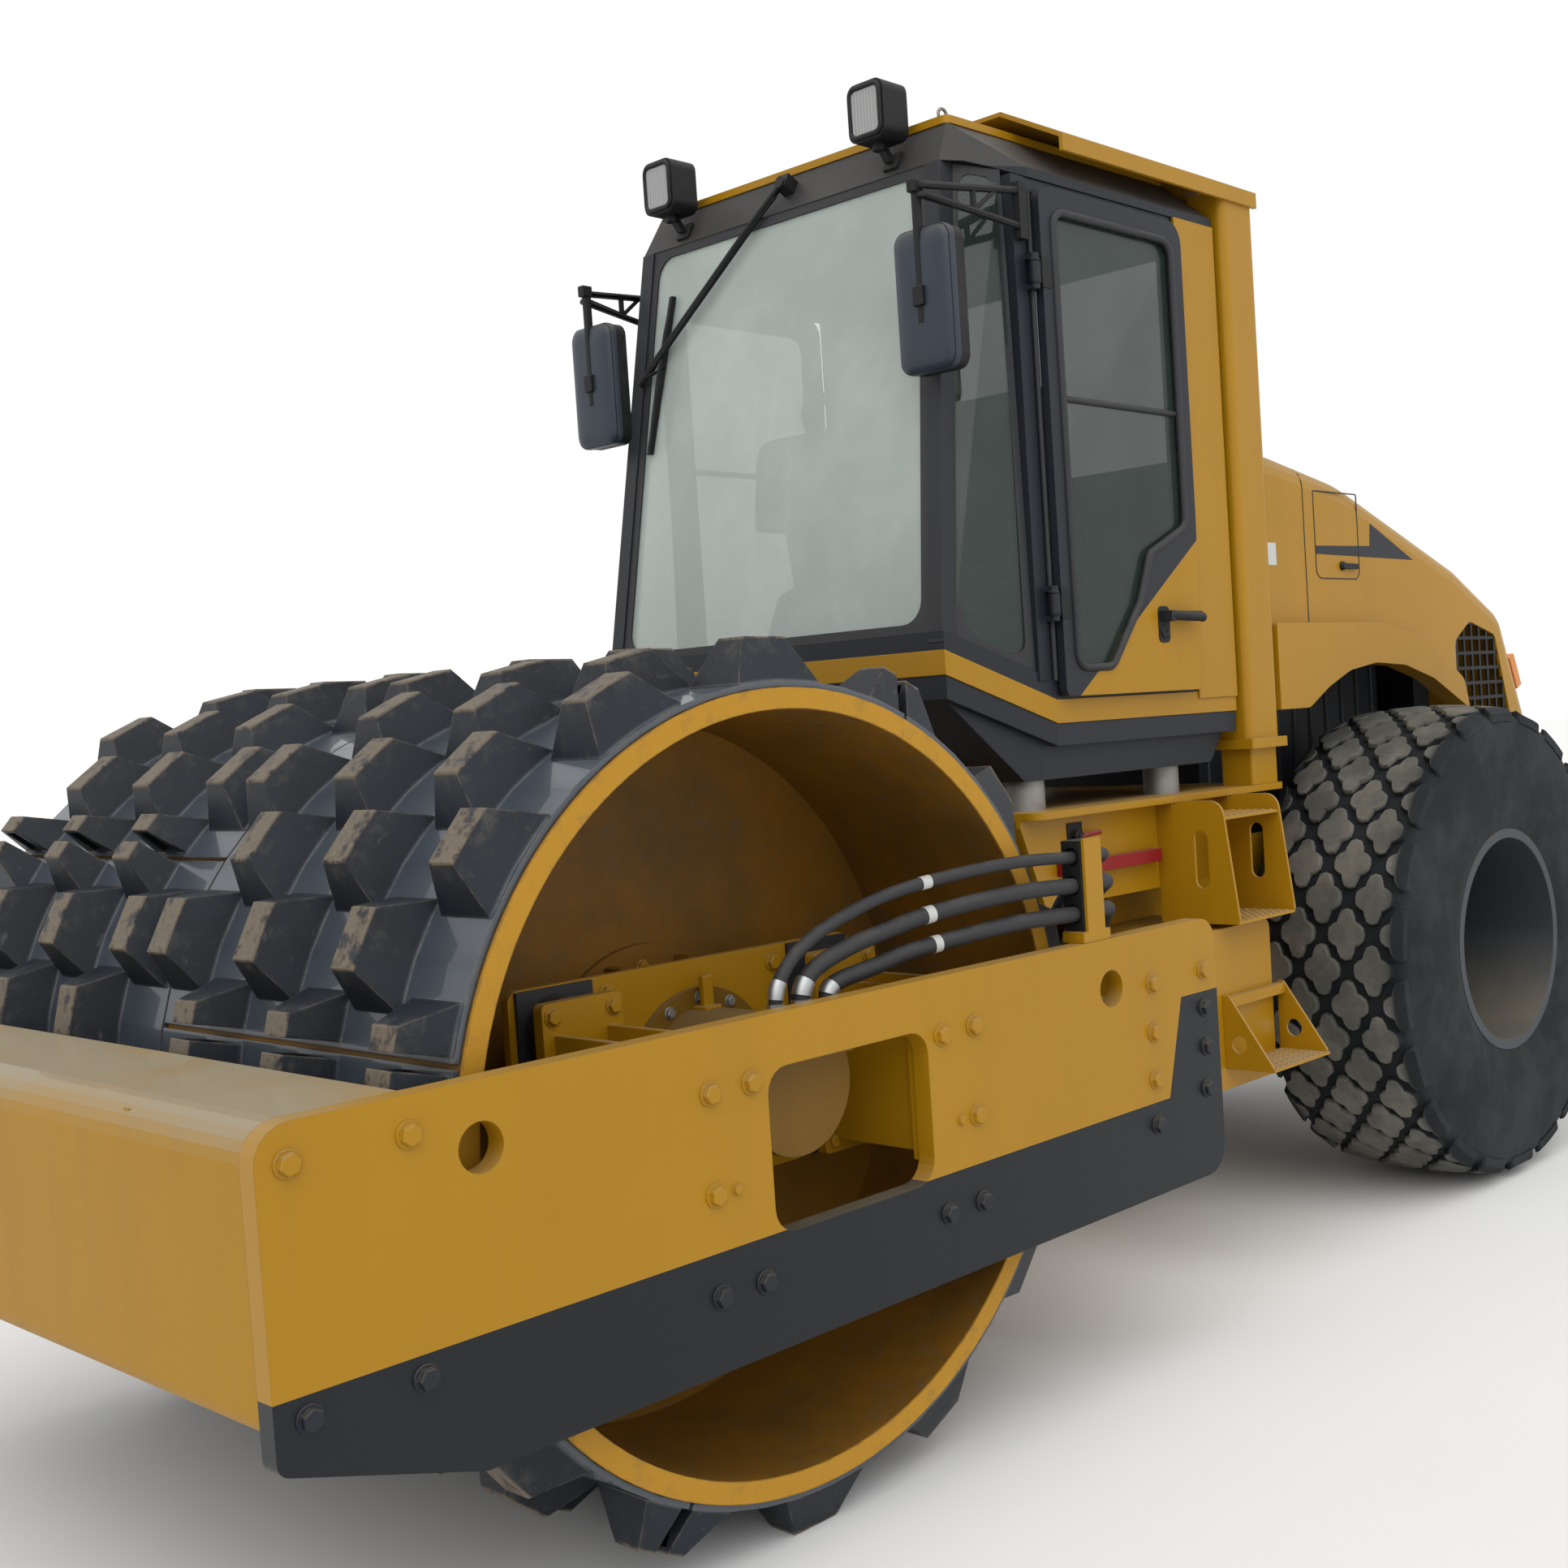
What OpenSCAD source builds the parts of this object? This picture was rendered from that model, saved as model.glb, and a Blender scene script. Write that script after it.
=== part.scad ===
// Padfoot soil compactor with one vibrating drum, a cab and two driven tyres.
// Millimetres. The front faces -Y, +X is the left side of the machine, Z is up.
// The origin lies on the ground under the middle of the machine.

/* [Drum] */
// radius of the bare drum
drum_radius = 800; // [770:5:820]
// length of the bare drum
drum_length = 2130; // [2000:10:2150]
// thickness of the bolted-on padfoot shell
shell_thickness = 14; // [10:1:18]
// height of a pad above its shell
pad_height = 90; // [70:1:95]
// number of pads in one ring
pads_per_ring = 14; // [10:2:14]

/* [Front frame] */
// thickness of a side plate
plate_thickness = 45; // [35:1:50]
// clear space between a side plate and the end of the drum
plate_gap = 40; // [30:1:50]

/* [Wheels] */
// distance from the steering pin to the rear axle
pin_to_axle = 1500; // [1460:10:1560]
// outer radius of a tyre
tyre_radius = 780; // [760:5:800]
// width of a tyre
tyre_width = 560; // [520:10:570]
// distance from the middle of the machine to the middle of a tyre
tyre_middle = 830; // [825:5:845]

/* [Cab and hood] */
// width of the cab
cab_width = 1450; // [1400:10:1460]
// thickness of the glass
glass_thickness = 6; // [5:1:8]
// width of the hood
hood_width = 1380; // [1340:10:1400]
// thickness of the hood skin
hood_skin = 12; // [8:1:16]

/* [Hidden] */
$fn = 48;
corner_steps = 5;
tip_radius = drum_radius + shell_thickness + pad_height;
front_end = tip_radius + 290;
beam_y = tip_radius + 61;
pivot_y = beam_y + 675;
// the rear unit's own measure: its steering pin, axle height and rear end
pin_y = 1640;
axle_z = 780;
bumper_end = 4520;
rear_end = pivot_y + bumper_end - pin_y;
drum_y = -(rear_end - front_end) / 2;
drum_z = tip_radius;
hub_z = 904;
lift = drum_z - hub_z;
rear_lift = tyre_radius - axle_z;
axle_mid = pin_y + pin_to_axle;
axle_y = drum_y + pivot_y + pin_to_axle;
motor_radius = 142;
rings_per_side = 6;
seam_gap = 10;
split_gap = 30;
roll_z = 720;
running_gap = 0.05;
drum_end = drum_length / 2;
ring_pitch = drum_end / rings_per_side;
plate_in = drum_end + plate_gap;
plate_out = plate_in + plate_thickness;
plate_top = 1084;
carrier_x = drum_end - 353;
web_x = drum_end - 525;
cab_side = cab_width / 2;
tub_side = cab_side - 35;
hood_side = hood_width / 2;
bead_radius = 345;
flange_radius = 362;
rail_arch = axle_z + 172;
hood_axis = [4285, 1215];
nose_x = 675;
nose_y = 915;
nose_z = 1791;
sill_z = 1650;
belt_height = 63;
band_height = 60;
rail_height = 50;
door_post_y = 1290;
cab_rear = 2140;
post_foot = [645, 942, 1811];
post_head = [575, 1117, 3046.2];
head_z = 3047;
fascia_low = [1088, 3035];
roof_top = 3158;
fascia_high = [1154, roof_top];
roof_half = 580;
hinge_axis = [cab_side + 21, 1276];
door_hinges = [1900, 2760];
door_out = cab_side + 30;
hose_radius = 22;
hose_clamp_x = plate_in + 7;
hose_clamp_point = 9;
clamp_out = plate_out - 2;

// hoses from the cross beam through the clamp to the drum motor: x from the side plate, y from the drum axle, z
hose_routes = [
    [
        [-305, 1057, 900.3], [-305, 1057, 925], [-299, 1057, 970], [-277, 1056, 1040], [-235, 1052, 1120], [-175, 1045, 1190],
        [-105, 1030, 1240], [-39, 1000, 1268], [-1, 950, 1280], [7, 898, 1282], [7, 822, 1282],
        [6, 740, 1287], [1, 640, 1290], [-12, 540, 1287], [-31, 440, 1279], [-47, 340, 1268],
        [-54, 240, 1252], [-55, 150, 1230], [-55, 70, 1205], [-55, 0, 1168], [-55, -46, 1122], [-55, -58, 1088], [-55, -58, 1060.3]
    ],
    [
        [-235, 1057, 900.3], [-235, 1057, 925], [-229, 1057, 965], [-212, 1055, 1020], [-175, 1049, 1090], [-120, 1038, 1148],
        [-65, 1018, 1188], [-20, 985, 1208], [2, 942, 1215], [7, 898, 1216], [7, 822, 1216],
        [6, 740, 1220], [1, 640, 1222], [-12, 540, 1218], [-31, 440, 1209], [-47, 350, 1198],
        [-54, 265, 1183], [-55, 190, 1172], [-55, 120, 1156], [-55, 62, 1138], [-55, 26, 1114], [-55, 12, 1086], [-55, 12, 1060.3]
    ],
    [
        [-165, 1057, 900.3], [-165, 1057, 920], [-161, 1057, 950], [-149, 1054, 990], [-123, 1047, 1040], [-87, 1034, 1088],
        [-49, 1013, 1123], [-15, 980, 1143], [3, 940, 1150], [7, 898, 1150], [7, 822, 1150],
        [6, 740, 1153], [1, 640, 1155], [-12, 540, 1150], [-31, 450, 1142], [-46, 370, 1134],
        [-54, 300, 1126], [-55, 235, 1115], [-55, 180, 1108], [-55, 132, 1102], [-55, 98, 1092], [-55, 84, 1076], [-55, 84, 1060.3]
    ]
];

yellow = [0.78, 0.56, 0.14];
slate = [0.22, 0.25, 0.29];
black = [0.09, 0.09, 0.10];
rubber = [0.16, 0.17, 0.18];
steel = [0.62, 0.63, 0.64];
glass = [0.62, 0.78, 0.74, 0.35];
orange = [0.90, 0.40, 0.08];
red = [0.62, 0.10, 0.10];
seat_grey = [0.30, 0.31, 0.33];

function unit(v) = v / norm(v);

// arc that replaces the corner p between its neighbours a and b
function corner(p, a, b, r) = r <= 0 ? [p] :
    let (
        u = unit(a - p),
        v = unit(b - p),
        half = acos(u * v) / 2,
        c = p + unit(u + v) * r / sin(half),
        s = p + u * r / tan(half) - c,
        e = p + v * r / tan(half) - c,
        a0 = atan2(s[1], s[0]),
        turn = atan2(e[1], e[0]) - a0,
        sweep = turn > 180 ? turn - 360 : turn < -180 ? turn + 360 : turn
    )
    [for (i = [0:corner_steps]) c + r * [cos(a0 + sweep * i / corner_steps), sin(a0 + sweep * i / corner_steps)]];

// outline whose points are [across, up, corner radius]
function rounded(pts) = [
    for (i = [0:len(pts) - 1])
        each corner(
            [pts[i][0], pts[i][1]],
            [pts[(i + len(pts) - 1) % len(pts)][0], pts[(i + len(pts) - 1) % len(pts)][1]],
            [pts[(i + 1) % len(pts)][0], pts[(i + 1) % len(pts)][1]],
            pts[i][2]
        )
];

// rectangle outline with one corner radius
function box_outline(a0, a1, b0, b1, r) = rounded([[a0, b0, r], [a1, b0, r], [a1, b1, r], [a0, b1, r]]);

// pieces given with y from the drum axle and z for the nominal drum height
module from_drum() {
    translate([0, drum_y, lift]) children();
}

// pieces of the rear unit, given in its own measure
module from_rear() {
    translate([0, drum_y + pivot_y - pin_y, rear_lift]) children();
}

// side is 1 for the left of the machine and -1 for the right
module on_side(side) {
    mirror([side < 0 ? 1 : 0, 0, 0]) children();
}

// outline in y and z pushed from x0 to x1
module along_x(x0, x1) {
    translate([x0, 0, 0]) rotate([90, 0, 90]) linear_extrude(x1 - x0) children();
}

// outline in x and z pushed from y0 to y1
module along_y(y0, y1) {
    translate([0, y1, 0]) rotate([90, 0, 0]) linear_extrude(y1 - y0) children();
}

// outline in x and y pushed from z0 to z1
module along_z(z0, z1) {
    translate([0, 0, z0]) linear_extrude(z1 - z0) children();
}

module block(x0, x1, y0, y1, z0, z1) {
    translate([x0, y0, z0]) cube([x1 - x0, y1 - y0, z1 - z0]);
}

module rod_x(x0, x1, y, z, r) {
    translate([x0, y, z]) rotate([0, 90, 0]) cylinder(r = r, h = x1 - x0);
}

module rod_y(y0, y1, x, z, r) {
    translate([x, y1, z]) rotate([90, 0, 0]) cylinder(r = r, h = y1 - y0);
}

module rod_z(z0, z1, x, y, r) {
    translate([x, y, z0]) cylinder(r = r, h = z1 - z0);
}

// flat-sided bar of width w and depth d between the points p and q
module bar(p, q, w, d) {
    hull() {
        translate(p) cube([w, d, 1], center = true);
        translate(q) cube([w, d, 1], center = true);
    }
}

// plate between four corners, given its thickness and push direction
module pane(a, b, c, d, push) {
    hull() polyhedron(
        points = [a, b, c, d, a + push, b + push, c + push, d + push],
        faces = [[0, 1, 2, 3], [7, 6, 5, 4], [0, 4, 5, 1], [1, 5, 6, 2], [2, 6, 7, 3], [3, 7, 4, 0]]
    );
}

// FRONT UNIT

plate_outline = [
    [-front_end, plate_top, 60], [-front_end, 558, 25], [-front_end + 354, 443, 40],
    [beam_y + 366, 443, 70], [beam_y + 366, plate_top, 60]
];
window_outline = [[-182, 661, 50], [264, 661, 50], [264, 980, 50], [-182, 980, 50]];
lift_holes = [[-808, 971], [899, 967]];
lift_hole_radius = 43;

module side_plate(side) {
    color(yellow) from_drum() on_side(side) difference() {
        along_x(plate_in, plate_out) polygon(rounded(plate_outline));
        along_x(plate_in - 5, plate_out + 5) polygon(rounded(window_outline));
        for (p = lift_holes) rod_x(plate_in - 5, plate_out + 5, p[0], p[1], lift_hole_radius);
    }
}

beam_section = [
    [269, plate_top, 0], [0, plate_top, 60], [0, 600, 40], [154, 600, 0],
    [154, 620, 0], [20, 620, 20], [20, plate_top - 20, 40], [269, plate_top - 20, 0]
];
beam_web = [[16, 616, 0], [149, 616, 0], [259, plate_top - 16, 0], [16, plate_top - 16, 0]];

module front_beam() {
    color(yellow) from_drum() translate([0, -front_end, 0]) {
        along_x(-plate_in, plate_in) polygon(rounded(beam_section));
        for (x = [-700, 0, 700]) along_x(x - 10, x + 10) polygon(rounded(beam_web));
    }
}

module rear_crossbeam() {
    boss_z = roll_z + rear_lift - lift;
    color(yellow) from_drum() translate([0, beam_y, 0]) difference() {
        union() {
            difference() {
                along_x(-plate_in, plate_in) polygon(box_outline(0, 185, 500, 900, 20));
                along_x(-plate_in - 1, plate_in + 1) polygon(box_outline(20, 165, 520, 880, 8));
            }
            for (x = [-700, 700]) block(x - 8, x + 8, 5, 180, 505, 895);
            rod_y(10, 355, 0, boss_z, 165);
        }
        rod_y(-65, 365, 0, boss_z, 100 + running_gap);
    }
}

// rubber mounts between the inner plate of a drum end and the brackets on the side plate
mount_y = 355;
mount_z = 150;
mount_length = 68;
inner_thickness = 20;
bracket_x = carrier_x + inner_thickness + mount_length;

module drum_carrier(side) {
    color(yellow) from_drum() on_side(side) {
        difference() {
            along_x(carrier_x, carrier_x + inner_thickness) polygon(box_outline(-460, 460, hub_z - 243, hub_z + 243, 25));
            rod_x(carrier_x - 5, carrier_x + inner_thickness + 5, 0, hub_z, motor_radius + 0.3);
        }
        for (y = [-mount_y, mount_y]) {
            along_x(bracket_x, bracket_x + 28) polygon(box_outline(y - 95, y + 95, hub_z - 223, hub_z + 223, 12));
            for (d = [-70, 54]) block(bracket_x + 27, plate_in, y + d, y + d + 16, hub_z - 190, hub_z + 160);
            block(plate_in - 20, plate_in, y - 85, y + 85, hub_z - 205, hub_z + 172);
        }
    }
}

module rubber_mounts(side) {
    color(rubber) from_drum() on_side(side) translate([carrier_x + inner_thickness, 0, hub_z])
        for (y = [-mount_y, mount_y], z = [-mount_z, mount_z]) {
            block(0, 9, y - 90, y + 90, z - 90, z + 90);
            rod_x(8, mount_length - 8, y, z, 76);
            block(mount_length - 9, mount_length, y - 85, y + 85, z - 70, z + 70);
        }
}

// motor with its flange, and the spindle that the drum turns on
module drum_drive(side) {
    color(slate) from_drum() on_side(side) {
        rod_x(carrier_x - 1, plate_in - 65, 0, hub_z, motor_radius);
        rod_x(carrier_x + inner_thickness + 0.3, carrier_x + inner_thickness + 16, 0, hub_z, motor_radius + 42);
        rod_x(web_x - 20, carrier_x, 0, hub_z, 100);
        if (side > 0) block(plate_in - 95, plate_in - 20, -92, 112, hub_z + 56, hub_z + 156);
    }
}

// DRUM

// web of a drum end with its ribbed hub
module drum_hub() {
    rod_x(web_x - 8, web_x + 8, 0, 0, drum_radius - 30);
    rod_x(web_x + 7, web_x + 22, 0, 0, 268);
    rod_x(web_x + 7, carrier_x - 22, 0, 0, 170);
    for (a = [22.5:45:337.5]) rotate([a, 0, 0]) block(web_x + 21, web_x + 75, 165, 250, -6, 6);
}

module drum_shell() {
    color(yellow) translate([0, drum_y, drum_z]) difference() {
        union() {
            difference() {
                rod_x(-drum_end, drum_end, 0, 0, drum_radius);
                rod_x(-drum_end - 1, drum_end + 1, 0, 0, drum_radius - 43);
            }
            for (s = [-1, 1]) on_side(s) drum_hub();
        }
        for (s = [-1, 1]) on_side(s) rod_x(web_x - 40, carrier_x, 0, 0, 100 + running_gap);
    }
}

pad_base = [150, 216];
pad_top = [70, 114];
first_pad = 13.4;

// frustum standing on the shell, at its angle from straight ahead
module pad(x, angle) {
    translate([x, 0, 0]) rotate([-angle, 0, 0]) hull() {
        translate([-pad_base[0] / 2, -drum_radius - shell_thickness + 6, -pad_base[1] / 2]) cube([pad_base[0], 1, pad_base[1]]);
        translate([-pad_top[0] / 2, -tip_radius, -pad_top[1] / 2]) cube([pad_top[0], 1, pad_top[1]]);
    }
}

// half of the drum width; the seams of the halves lie one pad apart
module padfoot_shells(side) {
    step = 360 / pads_per_ring;
    seam = first_pad + (side < 0 ? step : 0);
    color(slate) translate([0, drum_y, drum_z]) difference() {
        union() {
            difference() {
                rod_x(side > 0 ? 4 : -drum_end + 8, side > 0 ? drum_end - 8 : -4, 0, 0, drum_radius + shell_thickness, $fn = 56);
                rod_x(-drum_end, drum_end, 0, 0, drum_radius + 1.5, $fn = 56);
            }
            for (k = [0:rings_per_side - 1], n = [0:pads_per_ring - 1])
                pad(side * ring_pitch * (k + 0.5), first_pad + step * (n + (k % 2 == 1 ? 0 : 0.5)));
        }
        for (n = [0, 4, 7, 11]) rotate([-(seam + step * n), 0, 0]) {
            block(-drum_end, drum_end, -tip_radius - 5, -drum_radius + 50, -seam_gap / 2, seam_gap / 2);
            block(-drum_end, drum_end, -tip_radius - 5, -drum_radius - shell_thickness, -split_gap / 2, split_gap / 2);
            for (k = [1:2:rings_per_side - 1])
                translate([side * ring_pitch * (k + 0.5), 0, 0])
                    block(-27, 27, -tip_radius + 11, -drum_radius - shell_thickness, -46, 46);
        }
    }
}

// CENTRE JOINT

ear_offset = [200, -20];

module centre_joint() {
    color(slate) from_rear() difference() {
        union() {
            rod_y(970, 1400, 0, roll_z, 100);
            rod_y(1335, 1400, 0, roll_z, 160);
            block(-85, 85, 1390, pin_y, 610, 830);
            rod_z(610, 830, 0, pin_y, 90);
            along_z(705, 730) polygon([[-80, pin_y - 150], [80, pin_y - 150], [235, pin_y - 50], [235, pin_y + 15], [165, pin_y + 15], [80, pin_y - 40], [-80, pin_y - 40], [-165, pin_y + 15], [-235, pin_y + 15], [-235, pin_y - 50]]);
        }
        rod_z(600, 840, 0, pin_y, 50 + running_gap);
    }
}

barrel_foot = [360, 540];
cylinder_z = 765;
cylinder_turn = atan2(barrel_foot[0] - ear_offset[0], barrel_foot[1] - ear_offset[1]);
cylinder_reach = norm(barrel_foot - ear_offset);

// child built along -Y from the barrel's pin at the origin
module on_cylinder(side) {
    from_rear() on_side(side) translate([barrel_foot[0], pin_y + barrel_foot[1], cylinder_z])
        rotate([0, 0, -cylinder_turn]) children();
}

module cylinder_barrel(side) {
    color(yellow) on_cylinder(side) difference() {
        union() {
            rod_z(-20, 20, 0, 0, 42);
            rod_y(-385, -25, 0, 0, 36);
        }
        rod_z(-30, 30, 0, 0, 20 + running_gap);
        rod_y(-400, -60, 0, 0, 20 + running_gap);
    }
}

module cylinder_rod(side) {
    color(steel) on_cylinder(side) {
        rod_z(-22, 22, 0, -cylinder_reach, 38);
        rod_y(-cylinder_reach + 20, -320, 0, 0, 20);
    }
}

// REAR UNIT

rail_outline = [
    [1760, 540, 0], [2100, 540, 40], [2400, 640, 60], [axle_mid - 240, 640, 30],
    [axle_mid - 180, rail_arch, 30], [axle_mid + 180, rail_arch, 30], [axle_mid + 240, 640, 30], [4340, 640, 0], [4340, 1180, 0], [2300, 1180, 20], [2300, 1340, 0], [1760, 1340, 0]
];
deck_side = [[1235, 1100], [2130, 1100], [2130, 1340], [1150, 1340], [1150, 1320]];
hinge_ear = [[4263, 1237, 21], [4307, 1237, 21], [4307, 1188, 0], [4330, 1178, 0], [4330, 1150, 0], [4300, 1150, 0], [4263, 1193, 10]];

module rear_frame() {
    color(yellow) from_rear() {
        for (s = [-1, 1]) on_side(s) {
            along_x(470, 490) polygon(rounded(rail_outline));
            along_x(675, 690) polygon(deck_side);
            block(485, 690, 2110, 2130, 1100, 1340);
            block(485, 680, 1750, 1765, 1100, 1340);
        }
        along_x(-680, 680) polygon([[1240, 1100], [1765, 1100], [1765, 1115], [1250, 1115], [1165, 1340], [1150, 1340]]);
        for (z = [555, 845]) along_z(z, z + 45) polygon([
            [-110, pin_y], [-80, pin_y - 75], [80, pin_y - 75], [110, pin_y], [300, 1760], [475, 1780],
            [475, 2260], [-475, 2260], [-475, 1780], [-300, 1760]
        ]);
        rod_z(550, 895, 0, pin_y, 50);
        block(-475, 475, 2240, 2260, 560, 1180);
        for (s = [-1, 1]) {
            block(s * barrel_foot[0] - 60, s * barrel_foot[0] + 60, 2130, 2245, 690, 718);
            rod_z(715, 792, s * barrel_foot[0], pin_y + barrel_foot[1], 20);
        }
        along_z(1340, 1360) polygon(rounded([[-750, 1150, 40], [750, 1150, 40], [750, 2345, 20], [-750, 2345, 20]]));
        for (y = [2600, 3600]) block(-475, 475, y, y + 20, 700, 1000);
        block(-475, 475, 3780, 3900, 1140, 1189.7);
        block(-475, 475, 4320, 4340, 660, 1180);
        for (s = [-1, 1], x = [350, 430]) {
            along_x(s * x - 10, s * x + 10) polygon(rounded(hinge_ear));
        }
        for (s = [-1, 1]) rod_x(s * 390 - 50, s * 390 + 50, hood_axis[0], hood_axis[1], 12);
    }
}

module side_tank(side) {
    color(yellow) from_rear() on_side(side) {
        along_x(490, 880) polygon(box_outline(1700, 2010, 535, 985, 25));
    }
}

step_front = 1750;
step_rear = 2035;

module steps(side) {
    upper = [[690.3, 1000, 0], [955, 1000, 15], [912, 1345, 45], [745, 1345, 30], [745, 1339, 0], [690.3, 1339, 0]];
    lower = [[880.3, 595, 0], [1045, 595, 10], [900, 800, 10], [880.3, 800, 0]];
    color(yellow) from_rear() on_side(side) {
        for (y = [step_front, step_rear]) {
            difference() {
                along_y(y, y + 8) polygon(rounded(upper));
                along_y(y - 1, y + 9) polygon(box_outline(815, 860, 1100, 1260, 22));
                block(680, 750.3, y - 1, y + 9, 1339, 1361);
            }
            difference() {
                along_y(y, y + 8) polygon(rounded(lower));
                rod_y(y - 1, y + 9, 930, 665, 25);
            }
        }
        block(700, 950, step_front, step_rear + 8, 1000, 1008);
        block(752, 915, step_front, step_rear + 8, 1290, 1298);
        block(880.3, 1040, step_front, step_rear + 8, 595, 603);
        block(880.3, 905, step_front, step_rear + 8, 765, 795);
    }
}

module rear_axle() {
    color(slate) {
        rod_x(-510, 510, axle_y, tyre_radius, 130);
        rod_y(axle_y - 165, axle_y + 165, 0, tyre_radius, 205);
        for (s = [-1, 1]) {
            rod_x(s > 0 ? 500 : -640, s > 0 ? 640 : -500, axle_y, tyre_radius, 165);
            rod_x(s > 0 ? 600 : -760, s > 0 ? 760 : -600, axle_y, tyre_radius, 70);
            on_side(s) block(400, 498, axle_y - 110, axle_y + 110, tyre_radius - 60, rail_arch + rear_lift - 0.3);
        }
    }
}

module engine_block() {
    color(slate) from_rear() {
        block(-330, 330, 2500, 3700, 1000.3, 1750);
        block(-440, 440, 3780, 3900, 1190, 1750);
    }
}

module rear_bumper() {
    color(slate) from_rear() along_z(660, 1190)
        polygon(rounded([[-690, 4340.3, 0], [690, 4340.3, 0], [690, bumper_end, 90], [-690, bumper_end, 90]]));
}

module isolators() {
    color(steel) from_rear() for (x = [-cab_side + 105, cab_side - 105], y = [1262, 1880]) {
        rod_z(1360, 1440, x, y, 52);
    }
}

// WHEELS

module tyre(side) {
    color(rubber) translate([side * tyre_middle, axle_y, tyre_radius]) rotate([0, side * 90, 0]) rotate_extrude($fn = 64)
        polygon(rounded([
            [bead_radius, -235, 20], [500, -tyre_width / 2, 60], [tyre_radius - 120, -tyre_width / 2, 60],
            [tyre_radius - 18, -tyre_width / 2 + 40, 45], [tyre_radius, 0, 500], [tyre_radius - 18, tyre_width / 2 - 40, 45],
            [tyre_radius - 120, tyre_width / 2, 60], [500, tyre_width / 2, 60], [bead_radius, 235, 20]
        ]));
}

module rim(side) {
    color(slate) translate([side * tyre_middle, axle_y, tyre_radius]) rotate([0, side * 90, 0]) rotate_extrude($fn = 64)
        polygon([
            [70 + running_gap, -190], [210, -190], [210, -160], [320, -150], [bead_radius - 13, -165], [bead_radius - 13, -255],
            [flange_radius, -255], [flange_radius, -243], [bead_radius - 1, -243], [bead_radius - 1, 243], [flange_radius, 243],
            [flange_radius, 255], [bead_radius - 13, 255], [bead_radius - 13, -135], [320, -125], [190, -135], [190, -110],
            [70 + running_gap, -110]
        ]);
}

// CAB

// plan of the cab, cut back by d on every side
function cab_plan(d) = [
    [-nose_x + 0.876 * d, nose_y + d], [nose_x - 0.876 * d, nose_y + d], [cab_side - d, door_post_y + 0.07 * d],
    [cab_side - d, cab_rear - d], [-cab_side + d, cab_rear - d], [-cab_side + d, door_post_y + 0.07 * d]
];

// outline that follows the top of the yellow belt, from dz0 to dz1 above it
function belt_line(dz0, dz1) = [
    [nose_y, nose_z + dz0], [door_post_y, sill_z + dz0], [cab_rear, sill_z + dz0],
    [cab_rear, sill_z + dz1], [door_post_y, sill_z + dz1], [nose_y, nose_z + dz1]
];

// height of the belt's top at the place y ahead of the doors
function belt_at(y) = sill_z + (nose_z - sill_z) * (door_post_y - y) / (door_post_y - nose_y);

// middle of the raked windshield post at the height z
function post_at(z) = post_foot + (post_head - post_foot) * (z - post_foot[2]) / (post_head[2] - post_foot[2]);

module cab_band(dz0, dz1, inset) {
    intersection() {
        along_x(-cab_side, cab_side) polygon(belt_line(dz0, dz1));
        along_z(1400, 1900) polygon(cab_plan(inset));
    }
}

module cab_tub() {
    shoulder = 935;
    color(slate) from_rear() {
        cab_band(-belt_height - band_height, -belt_height, 4);
        intersection() {
            along_x(-tub_side, tub_side) polygon([
                [shoulder, belt_at(shoulder) - belt_height - band_height + 2], [1190, 1440], [2040, 1440], [2110, 1530],
                [door_post_y, 1530], [shoulder, belt_at(shoulder) - belt_height - band_height + 3]
            ]);
            along_z(1400, 1900) polygon([
                [-nose_x + 25, 930], [nose_x - 25, 930], [tub_side, 1260], [tub_side, 2120], [-tub_side, 2120], [-tub_side, 1260]
            ]);
        }
    }
}

module cab_belt() {
    color(yellow) from_rear() {
        difference() {
            cab_band(-belt_height, 0, 0);
            along_z(1400, 1900) polygon(cab_plan(48));
        }
        for (s = [-1, 1]) on_side(s) block(cab_side - 2.7, cab_side + 6, 1942, cab_rear, sill_z - 20, 3009.7);
    }
}

module cab_frame() {
    color(slate) from_rear() {
        difference() {
            cab_band(0.3, rail_height, 3);
            along_z(1400, 1900) polygon(cab_plan(50));
        }
        for (s = [-1, 1]) on_side(s) {
            bar(post_foot, post_head, 50, 50);
            block(cab_side - 55, cab_side - 5, door_post_y - 60, door_post_y, 1700, 3009.7);
            block(cab_side - 55, cab_side - 5, 1930, 1980, 1690, 3009.7);
            block(cab_side - 55, cab_side - 5, cab_rear - 50, cab_rear, 1690, 3009.7);
            block(cab_side - 55, cab_side - 5, door_post_y - 10, cab_rear, 2969.7, 3009.7);
            for (z = door_hinges) {
                for (d = [-46, 32]) {
                    block(cab_side - 10, hinge_axis[0], hinge_axis[1] - 10, hinge_axis[1] + 10, z + d, z + d + 14);
                    rod_z(z + d, z + d + 14, hinge_axis[0], hinge_axis[1], 12);
                }
                rod_z(z - 46, z + 46, hinge_axis[0], hinge_axis[1], 8);
            }
        }
        block(-cab_side + 5, cab_side - 5, cab_rear - 50, cab_rear, 2969.7, 3009.7);
        block(-cab_side + 5, cab_side - 5, cab_rear - 50, cab_rear, 1690, 2000);
    }
}

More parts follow.
